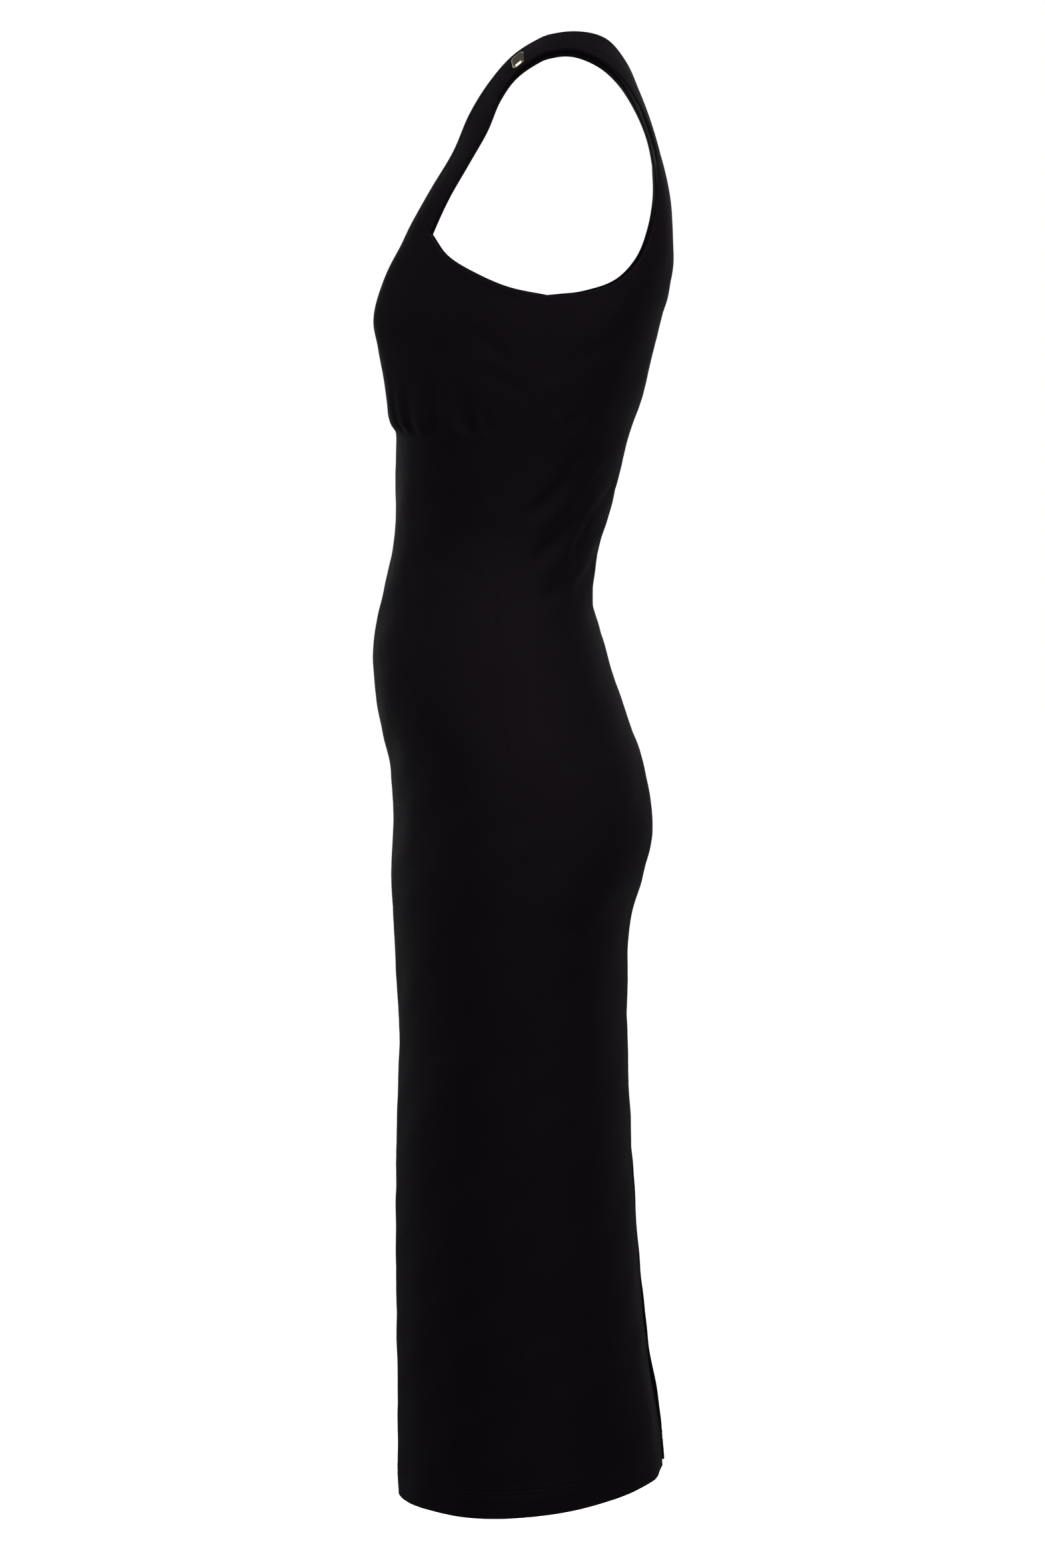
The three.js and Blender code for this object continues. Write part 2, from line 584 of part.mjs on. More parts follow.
// A plate with rounded corners that follows the strap, moved out of it by the seam space.
function plate() {
  const [rings, spokes] = [4, 28];
  const centre = onStrap(PLATE.across, PLATE.station);
  const step = 0.05;
  const acrossMm = onStrap(PLATE.across + step, PLATE.station).point.distanceTo(centre.point) / step;
  const alongMm = onStrap(PLATE.across, PLATE.station + step).point.distanceTo(centre.point) / step;
  const place = (ring, spoke, top) => {
    const angle = (2 * Math.PI * spoke) / spokes;
    const [cos, sin] = [Math.cos(angle), Math.sin(angle)];
    const power = PLATE.squareness;
    const round = (Math.abs(cos) ** power + Math.abs(sin) ** power) ** (-1 / power);
    const size = ring / rings;
    const across = (size * round * cos * PLATE.width) / 2 / acrossMm;
    const lengthwise = (size * round * sin * PLATE.length) / 2 / alongMm;
    const seat = onStrap(PLATE.across + across, PLATE.station + lengthwise);
    const height = top ? PLATE.thickness + PLATE.crown * (1 - size ** 3) : 0;
    return seat.point.addScaledVector(seat.normal, SEAM + height);
  };
  const points = [place(0, 0, true), place(0, 0, false)];
  const faces = [];
  const at = (top, ring, spoke) => 2 + ((top ? 0 : 1) * rings + ring - 1) * spokes + (spoke % spokes);
  for (const top of [true, false]) {
    for (let ring = 1; ring <= rings; ring += 1) {
      for (let spoke = 0; spoke < spokes; spoke += 1) points.push(place(ring, spoke, top));
    }
    for (let spoke = 0; spoke < spokes; spoke += 1) {
      const fan = [top ? 0 : 1, at(top, 1, spoke), at(top, 1, spoke + 1)];
      faces.push(...(top ? fan : fan.reverse()));
      for (let ring = 1; ring < rings; ring += 1) {
        const [a, b] = [at(top, ring, spoke), at(top, ring + 1, spoke)];
        const [c, d] = [at(top, ring + 1, spoke + 1), at(top, ring, spoke + 1)];
        faces.push(...(top ? [a, b, c, a, c, d] : [a, c, b, a, d, c]));
      }
    }
  }
  for (let spoke = 0; spoke < spokes; spoke += 1) {
    const [a, b] = [at(true, rings, spoke), at(true, rings, spoke + 1)];
    const [c, d] = [at(false, rings, spoke + 1), at(false, rings, spoke)];
    faces.push(a, d, c, a, c, b);
  }
  return solid(points, faces);
}

// ---- The dress ----

const jersey = new THREE.MeshStandardMaterial({ color: 0x0b0b0c, roughness: 0.85, metalness: 0 });
const metal = new THREE.MeshStandardMaterial({ color: 0xd9c48c, roughness: 0.25, metalness: 1 });

const dress = new THREE.Group();
function add(name, geometry, material) {
  const mesh = new THREE.Mesh(geometry, material.clone());
  mesh.name = name;
  dress.add(mesh);
}

for (const [side, word] of [
  [1, "left"],
  [-1, "right"],
]) {
  add(`cup_${word}`, cup(side), jersey);
  add(`strap_${word}`, frontStrap(side), jersey);
  add(`back_${word}`, back(side), jersey);
}
add("front", front(), jersey);
add("strap_plate", plate(), metal);

export default dress;
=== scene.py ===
"""The looks of a sleeveless black jersey midi dress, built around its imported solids.

Every cloth piece is a thin shell on the same form as its solid, with the cloth's folds, turned edges and
stitching added. The form and the folds are stated in millimetres, as a pattern is, and turned into metres
when a mesh is made. +Z is up, the wearer faces -Y and the wearer's left is +X. A "drop" is a distance below
the origin, which is midway between the tops of the two straps. A "turn" goes round the body: 0 is the centre
front, 1 the left side seam, 2 the centre back, and the right half has the same turns with a minus sign.
"""

import math

import bpy
import numpy as np
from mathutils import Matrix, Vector
from mathutils.kdtree import KDTree

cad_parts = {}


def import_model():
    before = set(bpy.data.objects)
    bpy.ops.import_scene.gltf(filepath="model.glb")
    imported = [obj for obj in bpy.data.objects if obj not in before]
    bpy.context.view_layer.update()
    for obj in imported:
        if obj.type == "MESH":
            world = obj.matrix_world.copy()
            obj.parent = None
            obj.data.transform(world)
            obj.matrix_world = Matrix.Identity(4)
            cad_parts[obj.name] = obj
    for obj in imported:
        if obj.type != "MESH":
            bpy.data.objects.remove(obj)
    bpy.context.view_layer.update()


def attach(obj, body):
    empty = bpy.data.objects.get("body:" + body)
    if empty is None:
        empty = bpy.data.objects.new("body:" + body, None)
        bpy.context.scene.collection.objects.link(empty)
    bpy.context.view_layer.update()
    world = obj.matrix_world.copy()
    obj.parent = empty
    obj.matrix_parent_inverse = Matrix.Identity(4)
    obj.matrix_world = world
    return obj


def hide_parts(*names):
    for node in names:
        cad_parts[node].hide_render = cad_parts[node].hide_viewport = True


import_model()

MM = 0.001


def table(columns, *rows):
    """A table with named columns, as a dict of arrays."""
    return {name: np.array(values, float) for name, values in zip(columns.split(), zip(*rows))}


# ---- Sizes of the cloth ----

CLOTH = 1.3  # thickness of one layer
# How far each piece starts from its seam. A minus value laps it, so that the rolled rims press together.
HALF_SEAM = -0.45
ROLL = 0.55  # how far the round edge of a layer stands out of its flat part
UNDERBUST_DROP = 330
ARMHOLE_DROP = 215
NECK_FRONT_DROP = 216
NECK_BACK_DROP = 150
HEM_DROP, HEM_TILT, HEM_BOW = 1218, 0.085, 0.0007
SLIT_TOP, SLIT_OPENING, SLIT_POWER = 880, 17, 1.6
SLIT_FLARE = {1: 1.2, -1: 4.8}
SLIT_FLARE_REACH = 30
BUST_X, BUST_SPREAD = 84, 52
SHOULDER_SEAM = 6  # its station on the strap
NECK_CURVE = 1.25  # power of the front neckline

# Horizontal sections of the form.
SECTIONS = table(
    "drop front back half side front_power back_power rise",
    (60, -86, 58, 118, 0, 2.4, 5.4, 0),
    (97, -106, 71, 130, -6, 2.4, 5.2, 5),
    (130, -120, 79, 137, -11, 2.4, 4.6, 11),
    (160, -130, 82, 142, -15, 2.4, 4, 18),
    (190, -139, 82, 146, -19, 2.4, 3.8, 26),
    (217, -147, 77.5, 148, -22, 2.4, 3.4, 29),
    (236, -151, 72, 148, -25, 2.4, 3.1, 28),
    (256, -151, 67.5, 146, -28, 2.4, 2.9, 24),
    (283, -150, 61, 142, -33, 2.5, 2.7, 18),
    (303, -149, 55.5, 138, -38, 2.6, 2.6, 15),
    (321, -148.5, 49.5, 134.5, -42, 2.7, 2.5, 11),
    (330, -148.5, 46.8, 133, -44, 2.7, 2.5, 2),
    (345, -149, 42.5, 130, -47, 2.6, 2.5, 0),
    (389, -149, 31.5, 123, -56, 2.4, 2.4, 0),
    (425, -152, 21.5, 121, -61, 2.3, 2.4, 0),
    (466, -160.5, 16, 129, -65, 2.3, 2.4, 0),
    (515, -168.5, 28, 148, -66, 2.3, 2.4, 0),
    (560, -164.5, 42.5, 163, -60, 2.3, 2.4, 0),
    (610, -154, 59, 173, -51, 2.3, 2.5, 0),
    (660, -151.5, 66.5, 177, -46, 2.3, 2.5, 0),
    (703, -153.5, 57, 177, -46, 2.3, 2.5, 0),
    (728, -152, 49.5, 176, -47, 2.3, 2.4, 0),
    (755, -150.5, 46, 175, -47, 2.3, 2.4, 0),
    (830, -147, 45, 171, -48, 2.3, 2.4, 0),
    (960, -149.5, 50, 166, -47, 2.3, 2.4, 0),
    (1090, -148.5, 59.5, 164, -44, 2.3, 2.4, 0),
    (1165, -147.5, 71, 165, -41, 2.3, 2.4, 0),
    (1240, -147, 76, 166, -39, 2.3, 2.4, 0),
)

# The left armhole's edge as it shows from the side, from the side seam up to the strap.
ARMHOLE_FRONT = table("y drop", (-22, 215), (-55, 208), (-85, 195), (-107, 181), (-120, 163))
ARMHOLE_BACK = table("y drop", (-22, 215), (9, 211.5), (36, 202), (54, 184), (64, 160), (69, 132), (68.5, 105))

# Stations of the left strap from its foot on the cup over the shoulder to its heel on the back.
STRAP_FOOT = {"neck_x": 58, "neck_drop": 157}
STRAP_HEEL = {"neck_x": 58, "neck_drop": 97}
STRAP = table(
    "neck_x neck_y neck_drop arm_x arm_y arm_drop",
    (61, -118.5, 126, 103, -106, 132),
    (64, -100.5, 96, 105, -89.5, 103),
    (67, -87, 65, 107, -74, 76),
    (70, -70, 38, 108.5, -63, 50),
    (72, -49.5, 15.5, 109.5, -48, 29.5),
    (73, -24, 1, 110, -25, 15),
    (73, 2, -3, 110, -2, 11.5),
    (72, 26, 3, 109, 21, 20),
    (69, 42.5, 22, 106.5, 38.5, 35),
    (65, 53, 45, 104, 52.5, 56),
    (61, 62.5, 70, 102, 63, 80),
)
STRAP_CROWN = 1.2  # how much the strap is domed across
STRAP_RUN_ON = 32  # how far its curve goes on below each end
NUDGE = 0.05  # a small step along or across it

# ---- Folds ----

# Gathers of each cup: troughs that rise from the underbust seam and lean to the bust. A minus depth is a
# ridge.
GATHERS = table(
    "turn width depth length",
    (0.12, 5.0, 1.7, 34),
    (0.205, 5.4, 2.7, 54),
    (0.3, 5.0, 2.1, 42),
    (0.39, 5.8, 3.0, 62),
    (0.49, 6.4, 3.3, 56),
    (0.562, 5.0, -1.3, 46),
    (0.635, 6.6, 3.5, 62),
    (0.71, 5.2, -1.3, 42),
    (0.785, 6.2, 2.9, 50),
    (0.87, 4.8, 1.5, 30),
)
# The small puckers between the gathers, close to the seam.
PUCKERS = table(
    "turn width depth length",
    (0.085, 2.4, 0.6, 16),
    (0.175, 2.6, 0.9, 22),
    (0.26, 2.3, 0.8, 18),
    (0.345, 2.8, 1.0, 26),
    (0.432, 2.4, 0.9, 20),
    (0.512, 2.6, 1.0, 24),
    (0.597, 2.4, 0.9, 20),
    (0.688, 2.8, 1.0, 26),
    (0.775, 2.4, 0.7, 18),
    (0.87, 2.6, 0.6, 15),
)
GATHER_LEAN = 0.003  # how far to the bust point a gather leans for each millimetre up
GATHER_AT_SEAM, GATHER_OPEN = 0.3, 8.0  # the share of its depth at the seam, and where it has it all

# Creases where the cloth folds in above the seat. lean is the angle from level in degrees, with the end
# nearer the centre back the higher one. length and width are half of what the crease takes up. A minus depth
# is a ridge.
CREASES = table(
    "turn drop lean length width depth",
    (1.31, 347, 40, 19, 5.0, 1.9),
    (1.2, 377, 52, 23, 5.5, 2.6),
    (1.25, 392, 43, 29, 5.0, -1.3),
    (1.31, 410, 45, 33, 6.0, 3.0),
    (1.31, 431, 36, 20, 5.5, -1.2),
    (1.47, 413, 58, 15, 5.0, 1.8),
    (1.42, 362, 44, 22, 5.0, -0.9),
    (1.17, 311, 48, 12, 4.5, -0.8),
    (1.26, 309, 44, 17, 5.0, 1.2),
    (1.36, 452, 30, 26, 6.5, 1.6),
    (1.66, 446, 18, 30, 7.5, 2.2),
    (1.6, 386, 30, 30, 7.0, 1.5),
    (1.74, 412, 12, 28, 6.5, -0.9),
    (1.84, 424, 8, 34, 7.5, 1.8),
    (1.88, 476, 5, 38, 8.0, 1.3),
    (1.5, 490, 20, 40, 9.0, 1.0),
    (-1.28, 341, 44, 17, 5.0, 1.6),
    (-1.24, 384, 47, 26, 5.5, 2.8),
    (-1.31, 398, 40, 24, 5.0, -1.2),
    (-1.36, 418, 41, 30, 6.5, 2.8),
    (-1.24, 436, 38, 22, 5.5, 1.7),
    (-1.52, 404, 50, 17, 5.0, 1.7),
    (-1.45, 366, 38, 24, 5.5, 1.3),
    (-1.2, 306, 50, 14, 4.5, 1.0),
    (-1.62, 452, 16, 32, 7.5, 2.3),
    (-1.68, 384, 24, 26, 6.5, 1.3),
    (-1.8, 408, 10, 30, 6.5, -0.8),
    (-1.88, 440, 6, 32, 7.0, 1.7),
    (-1.56, 486, 22, 40, 9.0, 1.1),
    # pulls from the bust to the armhole and the side
    (0.8, 252, -34, 30, 6, 0.9),
    (0.88, 284, -22, 28, 6, 0.8),
    (-0.82, 258, -30, 32, 6, 0.9),
    (-0.9, 292, -18, 26, 6, 0.8),
    (1.2, 262, 30, 34, 7, 0.9),
    (-1.24, 270, 28, 32, 7, 0.9),
    # shallow ones across the front of the waist and below the stomach
    (0.35, 404, -10, 46, 8, 0.9),
    (-0.28, 418, -8, 50, 8, 1.0),
    (0.7, 432, -20, 40, 8, 1.0),
    (-0.74, 440, -22, 38, 8, 0.9),
    (0.2, 600, 7, 60, 11, 0.9),
    (-0.32, 622, -9, 56, 11, 0.9),
    # below the seat
    (1.62, 716, -10, 52, 11, 1.2),
    (-1.56, 724, -12, 50, 11, 1.2),
    (1.3, 742, -20, 44, 10, 0.8),
    (-1.28, 736, -18, 46, 10, 0.9),
)

# Soft upright folds of the skirt, which deepen towards the hem. A minus depth is a hollow.
FLUTES = table(
    "turn top width depth",
    (0.22, 760, 26, 2.2),
    (0.62, 820, 30, -2.8),
    (1.3, 860, 30, -3.0),
    (1.66, 800, 24, 2.4),
    (-0.3, 800, 28, -2.4),
    (-0.7, 780, 28, 2.2),
    (-1.24, 840, 28, -2.8),
    (-1.6, 820, 26, 2.6),
)

# The faint unevenness of worn cloth: a few long waves of different lengths and directions.
WAVES = ((61, 0.9, 0.22), (97, -0.5, 0.26), (38, 0.35, 0.12), (143, 1.4, 0.24), (27, -1.2, 0.07))
CUP_EASE = 0.6  # the share of it that the cups show
EASE_TOP, EASE_RUN = 150, 60  # where it starts on the back, and how far down it has its full depth

# ---- Edges and stitching ----

# A free edge is turned in by its width, which makes it thicker, and sewn down with rows of stitches.
NARROW_EDGE = {"width": 8.0, "raised": 0.22, "thicker": 0.8, "rows": (6.4,)}  # neck, armholes and straps
SLIT_EDGE = {"width": 9.5, "raised": 0.22, "thicker": 0.8, "rows": (7.8,)}
HEM_EDGE = {"width": 25.0, "raised": 0.25, "thicker": 0.8, "rows": (19.0, 22.2)}  # sewn with a twin needle
SEAM = {"depth": 0.12, "reach": 0.8}  # how the cloth rolls in where two pieces are sewn together
SEAM_PAD = {"height": 0.5, "reach": 6.0}  # the seam allowances under the shoulder seam
STITCH = {"pitch": 3.0, "length": 2.3, "radius": 0.17, "sides": 6, "sink": 0.2, "groove": 0.3, "groove_reach": 0.7}
# The rings of a stitch: the place along it, and the share of its radius.
THREAD_RINGS = ((-1, 0.4), (-0.72, 0.95), (0, 1.0), (0.72, 0.95), (1, 0.4))
THREAD_LIFT = 0.06  # of a stitch's middle
# Distances from an edge at which a grid has a column or row of its own.
EDGE_STEPS = (ROLL, 1.1, 1.9, 3.0, 4.4, 5.6, 6.4, 7.2, 8.2, 9.4, 11.5)
SEAM_STEPS = (ROLL, 1.0, 1.6, 2.4, 3.4, 5.0)
HEM_STEPS = (ROLL, 1.1, 2.2, 5.0, 9.0, 13.0, 17.0, 18.2, 19.0, 19.8, 20.8, 21.6, 22.2, 22.8, 23.8, 25.0, 26.6, 29.0)

BLADE_SHARE = 0.55  # how far up the back armhole the row from the lowest point of the neckline ends

# The plain metal plate on the left strap.
PLATE_LIFT = 0.45  # of its underside from the strap's form
PLATE_RINGS, PLATE_SPOKES = 14, 72
PLATE = {"across": 0.68, "station": 5.13, "length": 12, "width": 21, "thickness": 1.6, "crown": 1.0, "square": 5}


def smooth(value):
    value = np.clip(value, 0, 1)
    return value * value * (3 - 2 * value)


def mix(a, b, share):
    return a + (b - a) * share


def bell(distance, reach):
    return np.exp(-((distance / reach) ** 2))


def along(rows, key, column, at):
    """The value of a column at places along a table, on a smooth curve through its rows."""
    k, v = rows[key], rows[column]
    at = np.asarray(at, float)
    i = np.searchsorted(k[1:-1], at, side="left")
    place = np.arange(len(k))
    before, after = np.maximum(place - 1, 0), np.minimum(place + 1, len(k) - 1)
    slope = (v[after] - v[before]) / (k[after] - k[before])
    span = k[i + 1] - k[i]
    t = np.clip((at - k[i]) / span, 0, 1)
    t2, t3 = t * t, t * t * t
    return (
        (2 * t3 - 3 * t2 + 1) * v[i]
        + (t3 - 2 * t2 + t) * span * slope[i]
        + (3 * t2 - 2 * t3) * v[i + 1]
        + (t3 - t2) * span * slope[i + 1]
    )


# ---- The form ----

ARC_STEPS = 96  # steps of each quarter when its running length is worked out
ANGLE_STEPS = 64  # evenly spaced places of each quarter at which its angle is kept
DROP_STEP = 1.0
DROPS = np.arange(50, 1250, DROP_STEP)
FRONT, BACK = 0.5, 1.5  # a turn in the front quarter and one in the back quarter


def section_at(drop):
    made = {name: along(SECTIONS, "drop", name, drop) for name in SECTIONS if name != "drop"}
    made["rise"] = np.maximum(0, made["rise"])
    return made


def ring_point(made, angle):
    sin, cos = np.maximum(0, np.sin(angle)), np.cos(angle)
    power = np.where(cos > 0, made["front_power"], made["back_power"])
    reach = np.where(cos > 0, made["front"], made["back"])
    radius = (sin**power + np.abs(cos) ** power) ** (-1 / power)
    x = made["half"] * radius * sin
    share = radius * np.abs(cos)
    cup = np.where(cos > 0, made["rise"] * share * bell(x - BUST_X, BUST_SPREAD), 0)
    return x, made["side"] + (reach - made["side"]) * share - cup


def measure_quarters():
    """For each drop, the length of the front and the back quarter, and the angle at even steps along each."""
    made = {name: values[:, None] for name, values in section_at(DROPS).items()}
    lengths, angles = [], []
    for quarter in (0, 1):
        angle = (quarter + np.linspace(0, 1, ARC_STEPS + 1)) * math.pi / 2
        x, y = ring_point(made, angle[None, :])
        run = np.cumsum(np.hypot(np.diff(x), np.diff(y)), axis=1)
        run = np.hstack([np.zeros((len(DROPS), 1)), run])
        even = np.linspace(0, 1, ANGLE_STEPS + 1)
        lengths.append(run[:, -1])
        angles.append(np.array([np.interp(even * row[-1], row, angle) for row in run]))
    return np.array(lengths), np.array(angles)


QUARTER_LENGTHS, QUARTER_ANGLES = measure_quarters()


def quarter_length(turn, drop):
    ahead, behind = (np.interp(drop, DROPS, lengths) for lengths in QUARTER_LENGTHS)
    return np.where(np.abs(turn) >= 1, behind, ahead)


def angle_at(turn, drop):
    quarter = (turn >= 1).astype(int)
    place = np.clip((turn - quarter) * ANGLE_STEPS, 0, ANGLE_STEPS - 1e-9)
    level = np.clip((drop - DROPS[0]) / DROP_STEP, 0, len(DROPS) - 1.001)
    i, j = level.astype(int), place.astype(int)
    s, t = level - i, place - j
    low = mix(QUARTER_ANGLES[quarter, i, j], QUARTER_ANGLES[quarter, i, j + 1], t)
    high = mix(QUARTER_ANGLES[quarter, i + 1, j], QUARTER_ANGLES[quarter, i + 1, j + 1], t)
    return mix(low, high, s)


def form_point(turn, drop):
    """Points of the form with no folds. Turns past the centre front and back run on into the other half."""
    turn, drop = np.broadcast_arrays(np.asarray(turn, float), np.asarray(drop, float))
    size = np.abs(turn)
    sign = np.where(turn < 0, -1, 1) * np.where(size > 2, -1, 1)
    x, y = ring_point(section_at(drop), angle_at(np.where(size > 2, 4 - size, size), drop))
    return np.stack([sign * x, y, -drop], axis=-1)


def turn_where(low, high, drop, test):
    """The turn at each drop, between low and high, where a test that grows with the turn passes zero."""
    low, high = np.zeros(drop.shape) + low, np.zeros(drop.shape) + high
    for _ in range(32):
        middle = (low + high) / 2
        below = test(form_point(middle, drop)) < 0
        low, high = np.where(below, middle, low), np.where(below, high, middle)
    return (low + high) / 2


def front_turn_at_x(drop, x):
    return turn_where(0, 1, np.asarray(drop, float), lambda p: p[..., 0] - x)


def back_turn_at_x(drop, x):
    return turn_where(1, 2, np.asarray(drop, float), lambda p: x - p[..., 0])


# ---- Folds: how far the cloth stands out of the form ----

BUST_TURNS = front_turn_at_x(DROPS, BUST_X)


def crease_depth(turn, drop):
    out = np.zeros_like(turn)
    for c_turn, c_drop, lean, length, width, depth in zip(*CREASES.values()):
        away = turn - c_turn
        away = np.where(np.abs(away) > 2, away - 4 * np.sign(away), away)
        across = away * quarter_length(turn, drop) * np.sign(c_turn)
        down = drop - c_drop
        cos, sin = math.cos(math.radians(lean)), math.sin(math.radians(lean))
        lengthwise, sideways = across * cos - down * sin, across * sin + down * cos
        out -= depth * np.exp(-((lengthwise / length) ** 4) - (sideways / width) ** 2)
    return out


def flute_depth(turn, drop):
    out = np.zeros_like(turn)
    for f_turn, top, width, depth in zip(*FLUTES.values()):
        across = (turn - f_turn) * quarter_length(turn, drop)
        out += depth * smooth((drop - top) / (HEM_DROP - top)) * bell(across, width)
    return out


def gather_depth(turn, drop):
    up = np.maximum(0, UNDERBUST_DROP - drop)
    bust_turn = np.interp(drop, DROPS, BUST_TURNS)
    out = np.zeros_like(turn)
    for rows in (GATHERS, PUCKERS):
        for g_turn, width, depth, length in zip(*rows.values()):
            centre = mix(g_turn, bust_turn, GATHER_LEAN * up)
            across = (np.abs(turn) - centre) * quarter_length(turn, drop)
            out -= depth * (1 - smooth(up / length)) * bell(across, width)
    return out * mix(GATHER_AT_SEAM, 1, smooth(up / GATHER_OPEN))


def flare_depth(turn, drop):
    """The edges of the slit stand a little away from the legs, the right one further than the left one."""
    from_centre = (2 - np.abs(turn)) * quarter_length(turn, drop)
    flare = np.where(turn > 0, SLIT_FLARE[1], SLIT_FLARE[-1])
    return flare * smooth((drop - SLIT_TOP) / (HEM_DROP - SLIT_TOP)) * bell(from_centre, SLIT_FLARE_REACH)


def ease_depth(turn, drop):
    round_mm = turn * quarter_length(np.full_like(turn, FRONT), drop)
    out = np.zeros_like(turn)
    for number, (pitch, slope, height) in enumerate(WAVES):
        phase = 1.7 * number + 0.6 * np.sin(drop / (3.1 * pitch) + number)
        out += height * np.sin(2 * math.pi * (drop + slope * round_mm) / pitch + phase)
    return out


# ---- Edges of the pieces ----


def front_neck(share):
    return STRAP_FOOT["neck_x"] * share, mix(NECK_FRONT_DROP, STRAP_FOOT["neck_drop"], share**NECK_CURVE)


def back_neck(share):
    x = STRAP_HEEL["neck_x"] * np.sin(share * math.pi / 2)
    return x, mix(STRAP_HEEL["neck_drop"], NECK_BACK_DROP, np.cos(share * math.pi / 2))


def armhole_edge(rows, share):
    """y and drop on half of the armhole's edge. Share 0 is at the side seam, and 1 at the strap."""
    last = len(rows["y"]) - 1
    numbered = {"row": np.arange(last + 1.0), **rows}
    return along(numbered, "row", "y", share * last), along(numbered, "row", "drop", share * last)


def front_armhole(share):
    y, drop = armhole_edge(ARMHOLE_FRONT, share)
    return turn_where(front_turn_at_x(drop, BUST_X), 1, drop, lambda p: p[..., 1] - y), drop


def back_armhole(share):
    y, drop = armhole_edge(ARMHOLE_BACK, share)
    return turn_where(1, 2, drop, lambda p: p[..., 1] - y), drop


def level_drop(level, turn):
    """The drop of a level at a turn. Below the underbust seam the rows tilt more and more, up to the hem."""
    behind = form_point(turn, HEM_DROP)[..., 1] - form_point(1.0, HEM_DROP)[1]
    share = np.clip((level - UNDERBUST_DROP) / (HEM_DROP - UNDERBUST_DROP), 0, 1)
    return level - share * (HEM_TILT * behind + HEM_BOW * behind**2)


def slit_half_gap(level):
    open_share = np.clip((level - SLIT_TOP) / (HEM_DROP - SLIT_TOP), 0, 1)
    return HALF_SEAM + SLIT_OPENING * open_share**SLIT_POWER


# ---- The strap ----


def end_row(place, turn_at_x, armhole):
    """Turns and drops of the two ends of the row where the strap runs on into the cup or the back."""
    inner_turn = turn_at_x(np.array(place["neck_drop"]), place["neck_x"])
    outer_turn, outer_drop = armhole(np.array(1.0))
    return {"turn": (inner_turn, outer_turn), "drop": (place["neck_drop"], outer_drop)}


FOOT = end_row(STRAP_FOOT, front_turn_at_x, front_armhole)
HEEL = end_row(STRAP_HEEL, back_turn_at_x, back_armhole)
LAST_STATION = len(STRAP["neck_x"]) + 1


def row_point(row, across, lower=0.0):
    return form_point(mix(*row["turn"], across), mix(*row["drop"], across) + lower)


def strap_edge(prefix, across):
    places = np.stack([STRAP[prefix + "_x"], STRAP[prefix + "_y"], -STRAP[prefix + "_drop"]], axis=1)
    ends = [row_point(FOOT, across, STRAP_RUN_ON), row_point(FOOT, across)]
    return np.vstack([*ends, places, row_point(HEEL, across), row_point(HEEL, across, STRAP_RUN_ON)])


EDGES = {"neck": strap_edge("neck", 0.0), "arm": strap_edge("arm", 1.0)}


def edge_point(points, station):
    i = np.clip(np.floor(station).astype(int), 0, LAST_STATION - 1)
    t = (station - i)[..., None]
    a, b, c, d = (points[i + k] for k in range(4))
    return 0.5 * (2 * b + (c - a) * t + (2 * a - 5 * b + 4 * c - d) * t**2 + (3 * b - a - 3 * c + d) * t**3)


def ribbon_point(across, station):
    neck, arm = edge_point(EDGES["neck"], station), edge_point(EDGES["arm"], station)
    forward = edge_point(EDGES["neck"], station + NUDGE) - edge_point(EDGES["neck"], station - NUDGE)
    out = unit(np.cross(arm - neck, forward))
    across = across[..., None]
    return mix(neck, arm, across) + out * STRAP_CROWN * 4 * across * (1 - across)


def strap_point(across, station):
    across, station = np.broadcast_arrays(np.asarray(across, float), np.asarray(station, float))
    point = ribbon_point(across, station)
    for row, end in ((FOOT, 0.0), (HEEL, float(LAST_STATION))):
        share = 1 - smooth(np.abs(station - end) / 2)
        step = row_point(row, across) - ribbon_point(across, np.full_like(station, end))
        point = point + step * share[..., None]
    return point


def unit(vectors):
    return vectors / np.maximum(np.linalg.norm(vectors, axis=-1, keepdims=True), 1e-12)


# ---- Grids of places ----
# A grid has its rows from the top down, and its columns from the centre line or neck to the side or armhole.


def grid_normals(points, outward):
    """Normals of a grid of points. outward is 1 or -1, by which way its columns run."""
    down, across = np.gradient(points, axis=0), np.gradient(points, axis=1)
    return unit(np.cross(down, across)) * outward


def run_along(points, axis):
    """Distance of each point from the first row or column, measured on the grid."""
    steps = np.linalg.norm(np.diff(points, axis=axis), axis=-1)
    start = np.zeros_like(np.take(steps, [0], axis=axis))
    return np.concatenate([start, np.cumsum(steps, axis=axis)], axis=axis)


def spread(lengths, count, steps):
    """Shares of each length at which its columns lie: at stated distances from both ends, even between."""
    lengths = lengths[:, None]
    squeeze = np.minimum(1, 0.4 * lengths / steps[-1])
    near = np.array(steps)[None, :] * squeeze
    far = lengths - np.array(steps[::-1])[None, :] * squeeze
    inner = mix(near[:, -1:], far[:, :1], np.linspace(0, 1, count + 1)[None, 1:-1])
    return np.hstack([near, inner, far]) / lengths


def form_grid(rows, count, steps):
    """Turns and drops of a grid on the form. rows has the turn and drop of each row's two ends."""
    inner_turn, inner_drop, outer_turn, outer_drop = (np.asarray(v, float)[:, None] for v in rows)
    even = np.linspace(0, 1, 33)[None, :]
    rough = form_point(mix(inner_turn, outer_turn, even), mix(inner_drop, outer_drop, even))
    share = spread(run_along(rough, 1)[:, -1], count, steps)
    return mix(inner_turn, outer_turn, share), mix(inner_drop, outer_drop, share)


def nearest(points, line):
    """Distance of every point of a grid to a line."""
    tree = KDTree(len(line))
    for i, place in enumerate(line):
        tree.insert(place, i)
    tree.balance()
    return np.array([tree.find(p)[2] for p in points.reshape(-1, 3)]).reshape(points.shape[:-1])


